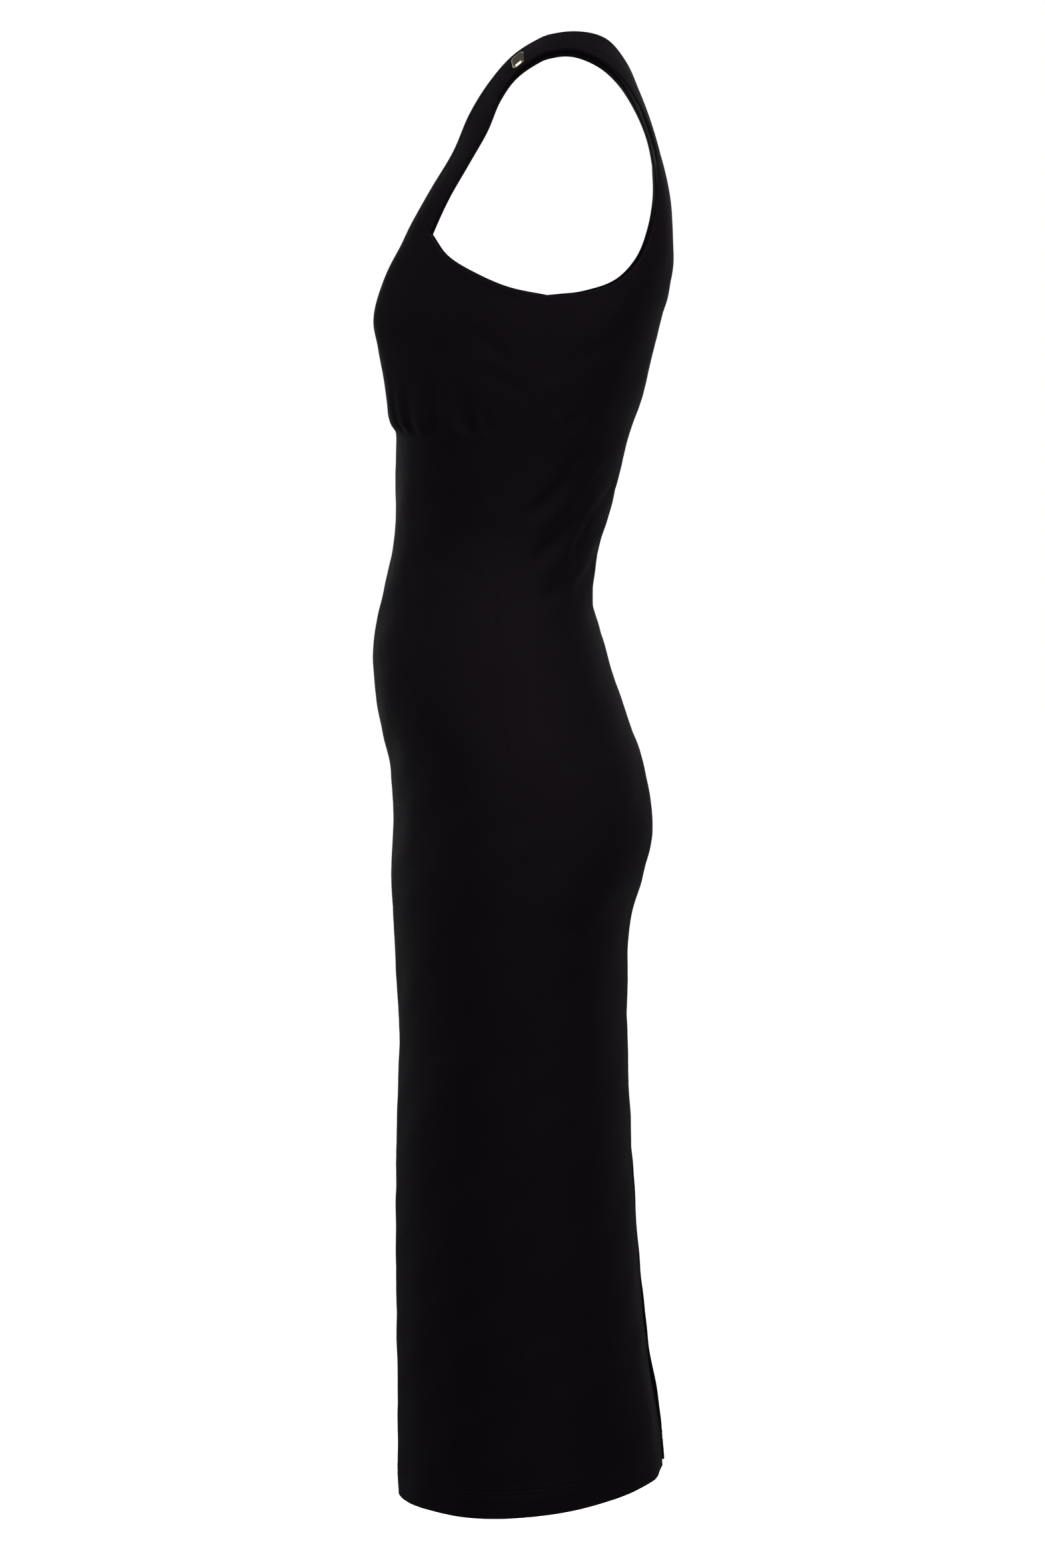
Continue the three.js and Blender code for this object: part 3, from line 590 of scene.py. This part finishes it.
def line_run(line):
    return np.concatenate([[0], np.cumsum(np.linalg.norm(np.diff(line, axis=0), axis=1))])


def sample(values, run, at):
    return np.stack([np.interp(at, run, values[:, k]) for k in range(3)], axis=1)


def dense(line):
    """The same line with a point every half millimetre."""
    run = line_run(line)
    return sample(line, run, np.linspace(0, run[-1], max(2, int(run[-1] / 0.5))))


def contours(field, level):
    """Lines on which a grid's field has a value, each as a list of ((i, j), (i, j), share) grid crossings."""
    above = field > level
    links = {}
    changes = above[:-1, :-1].astype(int) + above[1:, :-1] + above[:-1, 1:] + above[1:, 1:]
    for i, j in np.argwhere((changes > 0) & (changes < 4)):
        corners = [(i, j), (i, j + 1), (i + 1, j + 1), (i + 1, j)]
        cuts = []
        for a, b in zip(corners, corners[1:] + corners[:1]):
            if above[a] != above[b]:
                a, b = sorted((a, b))
                cuts.append((a, b, float((level - field[a]) / (field[b] - field[a]))))
        for a, b in zip(cuts[::2], cuts[1::2]):
            links.setdefault(a[:2], (a, []))[1].append(b)
            links.setdefault(b[:2], (b, []))[1].append(a)
    lines = []
    while links:
        ends = [k for k in links if sum(n[:2] in links for n in links[k][1]) < 2]
        key = min(ends) if ends else min(links)
        line = []
        while key in links:
            here, neighbours = links.pop(key)
            line.append(here)
            onward = [n[:2] for n in neighbours if n[:2] in links]
            if not onward:
                break
            key = onward[0]
        lines.append(line)
    return lines


# ---- Meshes ----


EDGE_ANGLES = np.radians([45, 90, 135])  # the rings of a shell's round edge


def border_of(height, width):
    """The vertices round a grid, in order."""
    top = [(0, j) for j in range(width - 1)]
    right = [(i, width - 1) for i in range(height - 1)]
    bottom = [(height - 1, j) for j in range(width - 1, 0, -1)]
    left = [(i, 0) for i in range(height - 1, 0, -1)]
    return np.array(top + right + bottom + left)


def border_directions(points, normals, border):
    """The direction, along the cloth, in which it ends at each place of its border."""
    height, width = points.shape[:2]
    i, j = border.T
    outward = np.zeros((len(border), 3))
    for at, size, step in ((i, height, (1, 0)), (j, width, (0, 1))):
        for end, sign in ((0, 1), (size - 1, -1)):
            rows = at == end
            here = points[i[rows], j[rows]]
            there = points[i[rows] + sign * step[0], j[rows] + sign * step[1]]
            outward[rows] += unit(here - there)
    normal = normals[i, j]
    outward -= normal * np.sum(outward * normal, axis=1, keepdims=True)
    tangent = unit(np.roll(points[i, j], -1, axis=0) - np.roll(points[i, j], 1, axis=0))
    corner = (i % (height - 1) == 0) & (j % (width - 1) == 0)
    square = outward - tangent * np.sum(outward * tangent, axis=1, keepdims=True)
    return unit(np.where(corner[:, None], outward, square))


def shell(points, normals, thickness):
    """A closed thin shell on a grid: its outer and inner sides, and a round edge all the way round them."""
    height, width = points.shape[:2]
    inner = points - normals * thickness[..., None]
    border = border_of(height, width)
    i, j = border.T
    ends = border_directions(points, normals, border)
    half = thickness[i, j][:, None] / 2
    middle = points[i, j] - normals[i, j] * half
    arcs = [middle + normals[i, j] * half * math.cos(a) + ends * ROLL * math.sin(a) for a in EDGE_ANGLES]
    vertices = np.vstack([points.reshape(-1, 3), inner.reshape(-1, 3), *arcs])
    count, round_count = height * width, len(border)
    cell = (np.arange(height - 1)[:, None] * width + np.arange(width - 1)[None, :]).ravel()
    outer_faces = np.stack([cell, cell + width, cell + width + 1, cell + 1], axis=1)
    faces = [outer_faces, outer_faces[:, ::-1] + count]
    rings = [i * width + j]
    rings += [2 * count + k * round_count + np.arange(round_count) for k in range(len(arcs))]
    rings += [count + i * width + j]
    for a, b in zip(rings, rings[1:]):
        faces.append(np.stack([a, np.roll(a, -1), np.roll(b, -1), b], axis=1))
    return vertices, np.vstack(faces), border


def link(name, data):
    made = bpy.data.objects.new(name, data)
    bpy.context.scene.collection.objects.link(made)
    return made


def make_object(name, vertices, faces, material):
    """A smooth-shaded object of a closed mesh, from millimetres, with its faces pointing out."""
    triangles = [face[:3] for face in faces] + [(f[0], f[2], f[3]) for f in faces if len(f) == 4]
    corners = vertices[np.array(triangles)]
    volume = np.einsum("ij,ij->i", corners[:, 0], np.cross(corners[:, 1], corners[:, 2])).sum()
    mesh = bpy.data.meshes.new(name)
    mesh.from_pydata((vertices * MM).tolist(), [], [tuple(map(int, face)) for face in faces])
    if volume < 0:
        mesh.flip_normals()
    mesh.update()
    mesh.shade_smooth()
    mesh.materials.append(material)
    return link(name, mesh)


def add_attribute(piece, name, values):
    kind, key = ("FLOAT_VECTOR", "vector") if values.ndim > 1 else ("FLOAT", "value")
    attribute = piece.data.attributes.new(name, kind, "POINT")
    attribute.data.foreach_set(key, values.astype(np.float32).ravel())


def stitches(points, normals, lines):
    """Vertices and faces of short thread stitches along lines of grid crossings."""
    length, pitch, radius, sides = STITCH["length"], STITCH["pitch"], STITCH["radius"], STITCH["sides"]
    centres, forwards, ups = [], [], []
    for line in lines:
        a, b = (tuple(np.array([crossing[k] for crossing in line]).T) for k in (0, 1))
        share = np.array([crossing[2] for crossing in line])[:, None]
        places, raised = mix(points[a], points[b], share), mix(normals[a], normals[b], share)
        run = line_run(places)
        if run[-1] < 2 * pitch:
            continue
        at = np.arange(pitch / 2, run[-1] - pitch / 2, pitch)
        centres.append(sample(places, run, at))
        forwards.append(unit(sample(places, run, at + length / 2) - sample(places, run, at - length / 2)))
        ups.append(unit(sample(raised, run, at)))
    centre, forward, up = np.vstack(centres), np.vstack(forwards), np.vstack(ups)
    aside = unit(np.cross(up, forward))
    angles = np.arange(sides) * 2 * math.pi / sides
    rings = []
    for place, size in THREAD_RINGS:
        middle = centre + forward * place * length / 2 + up * (THREAD_LIFT - STITCH["sink"] * place**2)
        for angle in angles:
            rings.append(middle + (aside * math.cos(angle) + up * math.sin(angle)) * radius * size)
    vertices = np.stack(rings, axis=1)
    per_stitch = vertices.shape[1]
    faces = []
    last = len(THREAD_RINGS) - 1
    for ring in range(last):
        for k in range(sides):
            a, b = ring * sides + k, ring * sides + (k + 1) % sides
            faces.append((a, b, b + sides, a + sides))
    caps = [tuple(range(sides))[::-1], tuple(range(last * sides, (last + 1) * sides))]
    offset = per_stitch * np.arange(len(centre))[:, None, None]
    quads = (np.array(faces)[None] + offset).reshape(-1, 4).tolist()
    ends = (np.array(caps)[None] + offset).reshape(-1, sides).tolist()
    return vertices.reshape(-1, 3), quads + ends


# ---- Materials ----

JERSEY_DARK, JERSEY_LIGHT = (0.0048, 0.0032, 0.0050, 1), (0.0086, 0.0058, 0.0090, 1)
WALE, COURSE = 0.9, 0.75  # width and height of one knit stitch


class Shader:
    """A material's node tree with short calls to add and join nodes."""

    def __init__(self, name):
        self.material = bpy.data.materials.new(name)
        self.material.use_nodes = True
        self.tree = self.material.node_tree
        self.surface = self.tree.nodes["Principled BSDF"]

    def add(self, kind, inputs=(), **settings):
        node = self.tree.nodes.new("ShaderNode" + kind)
        for key, value in settings.items():
            setattr(node, key, value)
        for key, value in dict(inputs).items():
            self.feed(node.inputs[key], value)
        return node

    def feed(self, socket, value):
        if isinstance(value, bpy.types.NodeSocket):
            self.tree.links.new(value, socket)
        else:
            socket.default_value = value

    def finish(self, inputs):
        for key, value in inputs.items():
            self.feed(self.surface.inputs[key], value)
        return self.material

    def math(self, operation, a, b=0.0):
        return self.add("Math", {0: a, 1: b}, operation=operation).outputs[0]

    def attribute(self, name, output="Fac"):
        return self.add("Attribute", attribute_name=name).outputs[output]

    def noise(self, scale, detail=3.0, roughness=0.55, vector=None):
        inputs = {"Scale": scale, "Detail": detail, "Roughness": roughness}
        inputs["Vector"] = vector or self.add("TexCoord").outputs["Object"]
        return self.add("TexNoise", inputs).outputs["Fac"]

    def remap(self, value, low, high, to_low=0.0, to_high=1.0):
        inputs = {"Value": value, "From Min": low, "From Max": high, "To Min": to_low, "To Max": to_high}
        return self.add("MapRange", inputs).outputs["Result"]

    def blend(self, share, a, b):
        return self.add("Mix", {0: share, 6: a, 7: b}, data_type="RGBA").outputs[2]

    def bump(self, height, distance, strength=1.0, normal=None):
        inputs = {"Height": height, "Distance": distance, "Strength": strength}
        if normal is not None:
            inputs["Normal"] = normal
        return self.add("Bump", inputs).outputs["Normal"]


def knit_height(shader):
    """The face of a plain knit: columns of V-shaped loops, each leg a round yarn."""
    split, calc = shader.add("SeparateXYZ", {0: shader.attribute("weave", "Vector")}), shader.math
    across, down = split.outputs[0], split.outputs[1]
    leg = calc("FRACT", calc("DIVIDE", across, WALE / 2))
    from_middle = calc("ABSOLUTE", calc("SUBTRACT", leg, 0.5))
    yarn = calc("SUBTRACT", 1.0, calc("MULTIPLY", calc("POWER", from_middle, 2.0), 4.0))
    wale = calc("FRACT", calc("DIVIDE", across, WALE))
    slant = calc("ABSOLUTE", calc("SUBTRACT", wale, 0.5))
    phase = calc("ADD", calc("DIVIDE", down, COURSE), calc("MULTIPLY", slant, 1.3))
    loop = calc("COSINE", calc("MULTIPLY", phase, 2 * math.pi))
    return calc("MULTIPLY", yarn, calc("ADD", 0.68, calc("MULTIPLY", loop, 0.32)))


def jersey_material():
    shader = Shader("black_jersey")
    calc = shader.math
    cloudy = shader.noise(9.0, 4.0)
    speckled = shader.noise(900.0, 2.0)
    # Painted shade and highlight: the cloth's colour is darker in fold troughs, stitch grooves and seams, and
    # lighter on ridges and raised turned edges, by their depth.
    fold = shader.remap(shader.attribute("fold"), -2.5, 1.0)
    edge = shader.attribute("edge")
    tone = calc("ADD", calc("MULTIPLY", cloudy, 0.55), calc("MULTIPLY", speckled, 0.25))
    # painted shade in the troughs and painted highlight on the ridges
    tone = calc("ADD", tone, calc("MULTIPLY", fold, 0.2))
    tone = calc("ADD", tone, calc("MULTIPLY", edge, 0.25))
    knit = shader.bump(knit_height(shader), 0.00009, 0.7)
    looks = {
        "Base Color": shader.blend(shader.remap(tone, 0.3, 0.95), JERSEY_DARK, JERSEY_LIGHT),
        "Roughness": calc("SUBTRACT", shader.remap(cloudy, 0.3, 0.7, 0.72, 0.84), calc("MULTIPLY", edge, 0.06)),
        "Specular IOR Level": 0.15,
        "Specular Tint": (1.0, 0.82, 1.0, 1),
        "Sheen Weight": 0.04,
        "Sheen Roughness": 0.35,
        "Sheen Tint": (0.96, 0.94, 1.0, 1),
        "Normal": shader.bump(shader.noise(160.0, 3.0), 0.00025, 0.35, knit),
    }
    return shader.finish(looks)


def thread_material():
    shader = Shader("black_thread")
    twist = shader.noise(2600.0, 2.0)
    looks = {
        "Base Color": shader.blend(twist, (0.004, 0.0036, 0.0043, 1), (0.009, 0.0082, 0.0095, 1)),
        "Roughness": shader.remap(twist, 0.2, 0.8, 0.42, 0.58),
        "Specular IOR Level": 0.25,
        "Normal": shader.bump(twist, 0.00006, 0.6),
    }
    return shader.finish(looks)


def metal_material():
    shader = Shader("pale_metal")
    spot = shader.add("TexCoord").outputs["Object"]
    brushed_way = shader.add("Mapping", {"Vector": spot, "Scale": (9000.0, 350.0, 350.0)}).outputs[0]
    brushed = shader.noise(1.0, 2.0, 0.5, brushed_way)
    rubbed = shader.noise(420.0, 4.0)
    looks = {
        "Base Color": shader.blend(rubbed, (0.72, 0.62, 0.40, 1), (0.90, 0.83, 0.66, 1)),
        "Roughness": shader.remap(shader.math("ADD", brushed, rubbed), 0.6, 1.4, 0.14, 0.3),
        "Metallic": 1.0,
        "Normal": shader.bump(brushed, 0.00002, 0.5),
    }
    return shader.finish(looks)


JERSEY, THREAD, METAL = jersey_material(), thread_material(), metal_material()

# ---- Cloth pieces ----


def relief(points, edges, seams):
    """What turned edges, rows of stitches and seams add to the cloth: depth, thickness, wear and the fields
    in which the rows of stitches are level lines."""
    depth, thickness = np.zeros(points.shape[:2]), np.full(points.shape[:2], CLOTH)
    wear, rows = np.zeros(points.shape[:2]), []
    for line, style in edges:
        field = nearest(points, dense(line)) + ROLL
        turned = 1 - smooth((field - style["width"] + 0.8) / 1.6)
        depth += style["raised"] * turned
        thickness += style["thicker"] * turned
        wear = np.maximum(wear, bell(field, 2.0))
        for row in style["rows"]:
            depth -= STITCH["groove"] * bell(field - row, STITCH["groove_reach"])
            rows.append((field, row))
    for line in seams:
        depth -= SEAM["depth"] * bell(nearest(points, dense(line)), SEAM["reach"])
    return depth, thickness, wear, rows


def sew(node, base, fold, outward, side, edges, seams, first_across):
    """The cloth piece of a node, on a grid: its shell, with the attributes its material reads, and its stitches."""
    name, cut = node + "_cloth", CUTS[node.split("_")[0]]
    edge_depth, thickness, wear, rows = relief(base, edges, seams)
    points = base + grid_normals(base, outward) * (fold + edge_depth)[..., None]
    normals = grid_normals(points, outward)
    across = run_along(base, 1) + np.asarray(first_across, float)[:, None]
    down = run_along(base, 0)
    down = down - down[-1:]
    mirror = np.array([side, 1, 1])
    points, normals = points * mirror, normals * mirror
    vertices, faces, border = shell(points, normals, thickness)
    piece = make_object(name, vertices, faces, JERSEY)
    at = border[:, 0] * base.shape[1] + border[:, 1]

    def whole(values):
        flat = values.ravel()
        return np.concatenate([flat, flat, *[flat[at]] * len(EDGE_ANGLES)])

    add_attribute(piece, "weave", np.stack([whole(across), whole(down), np.zeros(len(vertices))], axis=1))
    # The jersey paints shade and highlight from this depth: darker in troughs, grooves and seams, lighter on
    # ridges.
    add_attribute(piece, "fold", whole(fold + edge_depth))
    add_attribute(piece, "edge", whole(wear))
    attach(piece, "root")
    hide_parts(node)
    lines = [line for field, row in rows for line in contours(field, row)]
    sewn = make_object(name + "_stitching", *stitches(points, normals, lines), THREAD)
    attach(sewn, "root")


# What is cut for each kind of piece: flat width and length in metres, how it is held, and the share of its
# worn area that its flat area is.
CUTS = {
    "cup": {"flat": (0.265, 0.2), "held": "gathered", "of_worn": 1.02},
    "strap": {"flat": (0.044, 0.2), "held": "stretched", "of_worn": 0.94},
    "front": {"flat": (0.5, 0.9), "held": "hung", "of_worn": 0.94},
    "back": {"flat": (0.27, 1.3), "held": "hung", "of_worn": 0.94},
}
# The rows of each grid below the armhole: down to each drop at a spacing.
BANDS = {
    "cup": [(UNDERBUST_DROP, 2.5)],
    "front": [(480, 3.0), (700, 4.6), (HEM_DROP, 5.2)],
    "back": [(UNDERBUST_DROP, 4.0), (500, 3.0), (740, 4.6), (HEM_DROP, 5.2)],
}
FIRST_ROW = {"cup": 2.4, "back": 3}  # how far below the armhole's lowest point they start
COLUMNS = {"cup": 92, "strap": 9, "front": 96, "back": 34}  # of each grid, apart from those near its edges
FOOT_RUN = 91.0  # length of the cup's edges for the whole of their share
STATION_RUN = 27.0  # mean distance between the strap's stations
SEAM_STARTS = np.array(SEAM_STEPS) + HALF_SEAM
SEAM_REACH_IN = 0.06  # how far round the form from a seam an edge starts to lean to it


def levels_between(start, bands, end_steps):
    """Levels from start down to each band's end, a spacing apart, then at stated distances above the end."""
    made = [start]
    for end, spacing in bands:
        count = max(1, round((end - made[-1]) / spacing))
        made += list(np.linspace(made[-1], end, count + 1)[1:])
    made = [level for level in made if level < end - end_steps[-1] - 0.5]
    return np.array(made + [end - step for step in reversed(end_steps)])


def lap(seam, away):
    """How far an edge leans to the seam that it meets, at each distance from it round the form."""
    return seam * smooth(1 - away / SEAM_REACH_IN)


def node_of(kind, side):
    return kind + ("_left" if side > 0 else "_right")


def cup(side):
    near = 1 - SEAM_STARTS / FOOT_RUN
    share = np.concatenate([near, np.linspace(near[-1], 0, 34)[1:]])
    neck_x, neck_drop = front_neck(share)
    arm_turn, arm_drop = front_armhole(share)
    level = levels_between(ARMHOLE_DROP + FIRST_ROW["cup"], BANDS["cup"], SEAM_STARTS)
    inner_drop = np.concatenate([neck_drop, np.maximum(level, NECK_FRONT_DROP)])
    outer_drop = np.concatenate([arm_drop, level])
    seam = HALF_SEAM / quarter_length(FRONT, outer_drop)
    neck_turn = np.concatenate([front_turn_at_x(neck_drop, neck_x), np.zeros(len(level))])
    inner_turn = neck_turn + lap(seam, neck_turn)
    arm_turn = np.concatenate([arm_turn, np.ones(len(level))])
    outer_turn = arm_turn - lap(seam, 1 - arm_turn)
    rows = (inner_turn, inner_drop, outer_turn, outer_drop)
    turn, drop = form_grid(rows, COLUMNS["cup"], EDGE_STEPS)
    base = form_point(turn, drop)
    upper = len(share)
    signed = turn * side
    fold = gather_depth(turn, drop) + crease_depth(signed, drop) + CUP_EASE * ease_depth(signed, drop)
    edges = [(base[:upper, 0], NARROW_EDGE), (base[:upper, -1], NARROW_EDGE)]
    seams = [base[0], base[-1], base[upper:, 0], base[upper:, -1]]
    starts = inner_turn * quarter_length(FRONT, inner_drop)
    sew(node_of("cup", side), base, fold, 1, side, edges, seams, starts)


def strap_grid(station, count):
    rough = strap_point(np.linspace(0, 1, 9)[None, :], station[:, None])
    share = spread(run_along(rough, 1)[:, -1], count, EDGE_STEPS)
    return strap_point(share, np.broadcast_to(station[:, None], share.shape)), share


def shoulder_pad(station, share):
    """The seam allowances that lie under the cloth at the shoulder seam."""
    away = np.abs(station - SHOULDER_SEAM) * STATION_RUN
    return (SEAM_PAD["height"] * bell(away, SEAM_PAD["reach"]))[:, None] * np.ones_like(share)


def strap(side):
    near = SEAM_STARTS / STATION_RUN
    middle = np.linspace(SHOULDER_SEAM - near[-1], near[-1], 56)[1:-1]
    station = np.concatenate([SHOULDER_SEAM - near, middle, near[::-1]])
    base, share = strap_grid(station, COLUMNS["strap"])
    edges = [(base[:, 0], NARROW_EDGE), (base[:, -1], NARROW_EDGE)]
    starts = np.full(len(station), STRAP_FOOT["neck_x"])
    fold = shoulder_pad(station, share)
    sew(node_of("strap", side), base, fold, 1, side, edges, [base[0], base[-1]], starts)


def front():
    level = levels_between(UNDERBUST_DROP + SEAM_STARTS[-1], BANDS["front"], HEM_STEPS)
    level = np.concatenate([UNDERBUST_DROP + SEAM_STARTS[:-1], level])
    seam = 1 - HALF_SEAM / quarter_length(FRONT, level)
    turn, drop = form_grid((-seam, level, seam, level), COLUMNS["front"], SEAM_STEPS)
    drop = level_drop(drop, turn)
    base = form_point(turn, drop)
    fold = crease_depth(turn, drop) + flute_depth(turn, drop) + ease_depth(turn, drop)
    seams = [base[0], base[:, 0], base[:, -1]]
    starts = -quarter_length(FRONT, level)
    sew("front", base, fold, 1, 1, [(base[-1], HEM_EDGE)], seams, starts)


def back(side):
    near = SHOULDER_SEAM + SEAM_STARTS / STATION_RUN
    station = np.concatenate([near, np.linspace(near[-1], LAST_STATION, 58)[1:-1]])
    strap_base, strap_share = strap_grid(station, COLUMNS["back"])
    scoop = np.linspace(1, 0, 27)
    blade = np.linspace(1, 0, 25)[1:]
    neck_x, neck_drop = back_neck(scoop)
    arm_turn, arm_drop = back_armhole(np.concatenate([mix(BLADE_SHARE, 1, scoop), BLADE_SHARE * blade]))
    level = levels_between(ARMHOLE_DROP + FIRST_ROW["back"], BANDS["back"], HEM_STEPS)
    inner_drop = np.concatenate([neck_drop, mix(ARMHOLE_DROP, NECK_BACK_DROP, blade), level])
    outer_drop = np.concatenate([arm_drop, level])
    seam = HALF_SEAM / quarter_length(BACK, outer_drop)
    centre = 2 - HALF_SEAM / quarter_length(BACK, mix(ARMHOLE_DROP, NECK_BACK_DROP, blade))
    opening = 2 - slit_half_gap(level) / quarter_length(BACK, level)
    inner_turn = np.concatenate([np.minimum(back_turn_at_x(neck_drop, neck_x), centre[0]), centre, opening])
    arm_turn = np.concatenate([arm_turn, np.ones(len(level))])
    outer_turn = arm_turn + lap(seam, arm_turn - 1)
    rows = (inner_turn, inner_drop, outer_turn, outer_drop)
    turn, drop = form_grid(rows, COLUMNS["back"], EDGE_STEPS)
    lower = len(scoop) + len(blade)
    drop[lower:] = level_drop(drop[lower:], turn[lower:])
    body = form_point(turn, drop)
    signed = turn * side
    fold = crease_depth(signed, drop) + flute_depth(signed, drop) + flare_depth(signed, drop)
    fold += ease_depth(signed, drop) * smooth((drop - EASE_TOP) / EASE_RUN)
    base = np.vstack([strap_base, body])
    fold = np.vstack([shoulder_pad(station, strap_share), fold])
    on_strap = len(station)
    neck_end = on_strap + len(scoop)
    slit_start = on_strap + lower + int(np.searchsorted(level, SLIT_TOP))
    edges = [
        (base[:neck_end, 0], NARROW_EDGE),
        (base[: on_strap + lower, -1], NARROW_EDGE),
        (base[slit_start:, 0], SLIT_EDGE),
        (base[-1], HEM_EDGE),
    ]
    seams = [base[0], base[neck_end:slit_start, 0], base[on_strap + lower :, -1]]
    on_body = (2 - inner_turn) * quarter_length(BACK, inner_drop)
    starts = np.concatenate([np.full(on_strap, STRAP_HEEL["neck_x"]), on_body])
    sew(node_of("back", side), base, fold, -1, side, edges, seams, starts)


def plate():
    """A plain domed plate with round corners, clear of the strap by the seam space."""
    rings, spokes = PLATE_RINGS, PLATE_SPOKES
    across, station = PLATE["across"], PLATE["station"]
    here = strap_point(across, station)
    across_mm = np.linalg.norm(strap_point(across + NUDGE, station) - here) / NUDGE
    along_mm = np.linalg.norm(strap_point(across, station + NUDGE) - here) / NUDGE
    angle = np.arange(spokes) * 2 * math.pi / spokes
    power = PLATE["square"]
    corner = (np.abs(np.cos(angle)) ** power + np.abs(np.sin(angle)) ** power) ** (-1 / power)
    size = np.sin(np.linspace(0, 1, rings + 1)[1:] * math.pi / 2)[:, None]
    u = across + size * corner * np.cos(angle) * PLATE["width"] / 2 / across_mm
    v = station + size * corner * np.sin(angle) * PLATE["length"] / 2 / along_mm
    forward = strap_point(u, v + 0.02) - strap_point(u, v - 0.02)
    out = unit(np.cross(strap_point(u + 0.02, v) - strap_point(u - 0.02, v), forward))
    seat = strap_point(u, v) + out * PLATE_LIFT
    rim = 1 - smooth((size - 0.86) / 0.14) * 0.55  # the rim is rounded down to the strap
    top = seat + out * ((PLATE["thickness"] + PLATE["crown"] * (1 - size**3)) * rim)[..., None]
    middle = unit(out.mean(axis=(0, 1)))
    seat_middle = here + middle * PLATE_LIFT
    top_middle = seat_middle + middle * (PLATE["thickness"] + PLATE["crown"])
    vertices = np.vstack([top_middle, seat_middle, top.reshape(-1, 3), seat.reshape(-1, 3)])
    faces = []
    at = lambda side, ring, spoke: 2 + (side * rings + ring) * spokes + spoke % spokes
    for k in range(spokes):
        faces += [(0, at(0, 0, k), at(0, 0, k + 1)), (1, at(1, 0, k + 1), at(1, 0, k))]
        for ring in range(rings - 1):
            faces.append((at(0, ring, k), at(0, ring + 1, k), at(0, ring + 1, k + 1), at(0, ring, k + 1)))
            faces.append((at(1, ring, k), at(1, ring, k + 1), at(1, ring + 1, k + 1), at(1, ring + 1, k)))
        last = rings - 1
        faces.append((at(0, last, k), at(1, last, k), at(1, last, k + 1), at(0, last, k + 1)))
    piece = make_object("strap_plate_metal", vertices, faces, METAL)
    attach(piece, "root")
    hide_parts("strap_plate")


for side in (1, -1):
    cup(side)
    strap(side)
    back(side)
front()
plate()

# ---- Floor, light and camera ----

FLOOR_DROP = 1.42
DISTANCE = 6.2  # from the camera to the middle of the dress
ELEVATION = math.radians(4)
FRAME_HEIGHT = 1.3171  # what the camera takes in at that distance
LONG_SIDE = 36.0  # of the sensor, in millimetres
AIM = Vector((0, -0.043, -0.624))
AMBIENT = 0.07
LIGHT_SIZE = 1.1  # of each side
# name, place, the height it is turned to, watts
LIGHTS = (
    ("left_front_key", (1.9, -1.6, 2.0), -0.45, 16),
    ("left_back_key", (1.5, 2.0, 2.0), -0.45, 28),
    ("left_fill", (1.5, 0.2, -0.3), -0.45, 5.8),
    ("front_rim", (-0.6, -2.2, -0.2), -0.45, 4),
    ("right_key", (-2.2, 0.3, 0.3), -0.6, 8),
    ("right_fill", (-1.5, -0.3, -0.3), -0.45, 5),
)


def stage():
    """A wide pale floor. Its light is for the camera alone, so the dress isn't lit from below."""
    bpy.ops.mesh.primitive_circle_add(vertices=96, radius=14, fill_type="NGON", location=(0, 0, -FLOOR_DROP))
    floor = bpy.context.object
    floor.name = "floor"
    shader = Shader("pale_floor")
    pale = shader.blend(shader.noise(3.0), (0.86, 0.86, 0.86, 1), (0.9, 0.9, 0.9, 1))
    looks = {"Base Color": pale, "Emission Color": pale, "Emission Strength": 1.1, "Roughness": 0.9}
    floor.data.materials.append(shader.finish(looks))
    floor.visible_diffuse = floor.visible_glossy = False


def world():
    """White behind the dress, and a dimmer even light all round it."""
    made = bpy.data.worlds.new("studio")
    bpy.context.scene.world = made
    made.use_nodes = True
    tree = made.node_tree
    background = tree.nodes["Background"]
    background.inputs["Color"].default_value = (1, 1, 1, 1)
    seen = tree.nodes.new("ShaderNodeLightPath").outputs["Is Camera Ray"]
    strength = tree.nodes.new("ShaderNodeMapRange")
    strength.inputs["To Min"].default_value = AMBIENT
    tree.links.new(seen, strength.inputs["Value"])
    tree.links.new(strength.outputs["Result"], background.inputs["Strength"])


def put(made, place, target):
    made.location = place
    made.rotation_euler = (target - made.location).to_track_quat("-Z", "Y").to_euler()


def area_light(name, place, height, power):
    data = bpy.data.lights.new(name, "AREA")
    data.shape, data.size, data.size_y, data.energy = "RECTANGLE", LIGHT_SIZE, LIGHT_SIZE, power
    put(link(name, data), Vector(place), Vector((0, 0, height)))


def camera():
    data = bpy.data.cameras.new("camera")
    data.sensor_width = LONG_SIDE
    data.lens = LONG_SIDE * DISTANCE / FRAME_HEIGHT
    bpy.context.scene.camera = link("camera", data)
    put(bpy.context.scene.camera, AIM + DISTANCE * Vector((math.cos(ELEVATION), 0, math.sin(ELEVATION))), AIM)


stage()
world()
for light in LIGHTS:
    area_light(*light)
camera()
bpy.context.scene.view_settings.view_transform = "Standard"
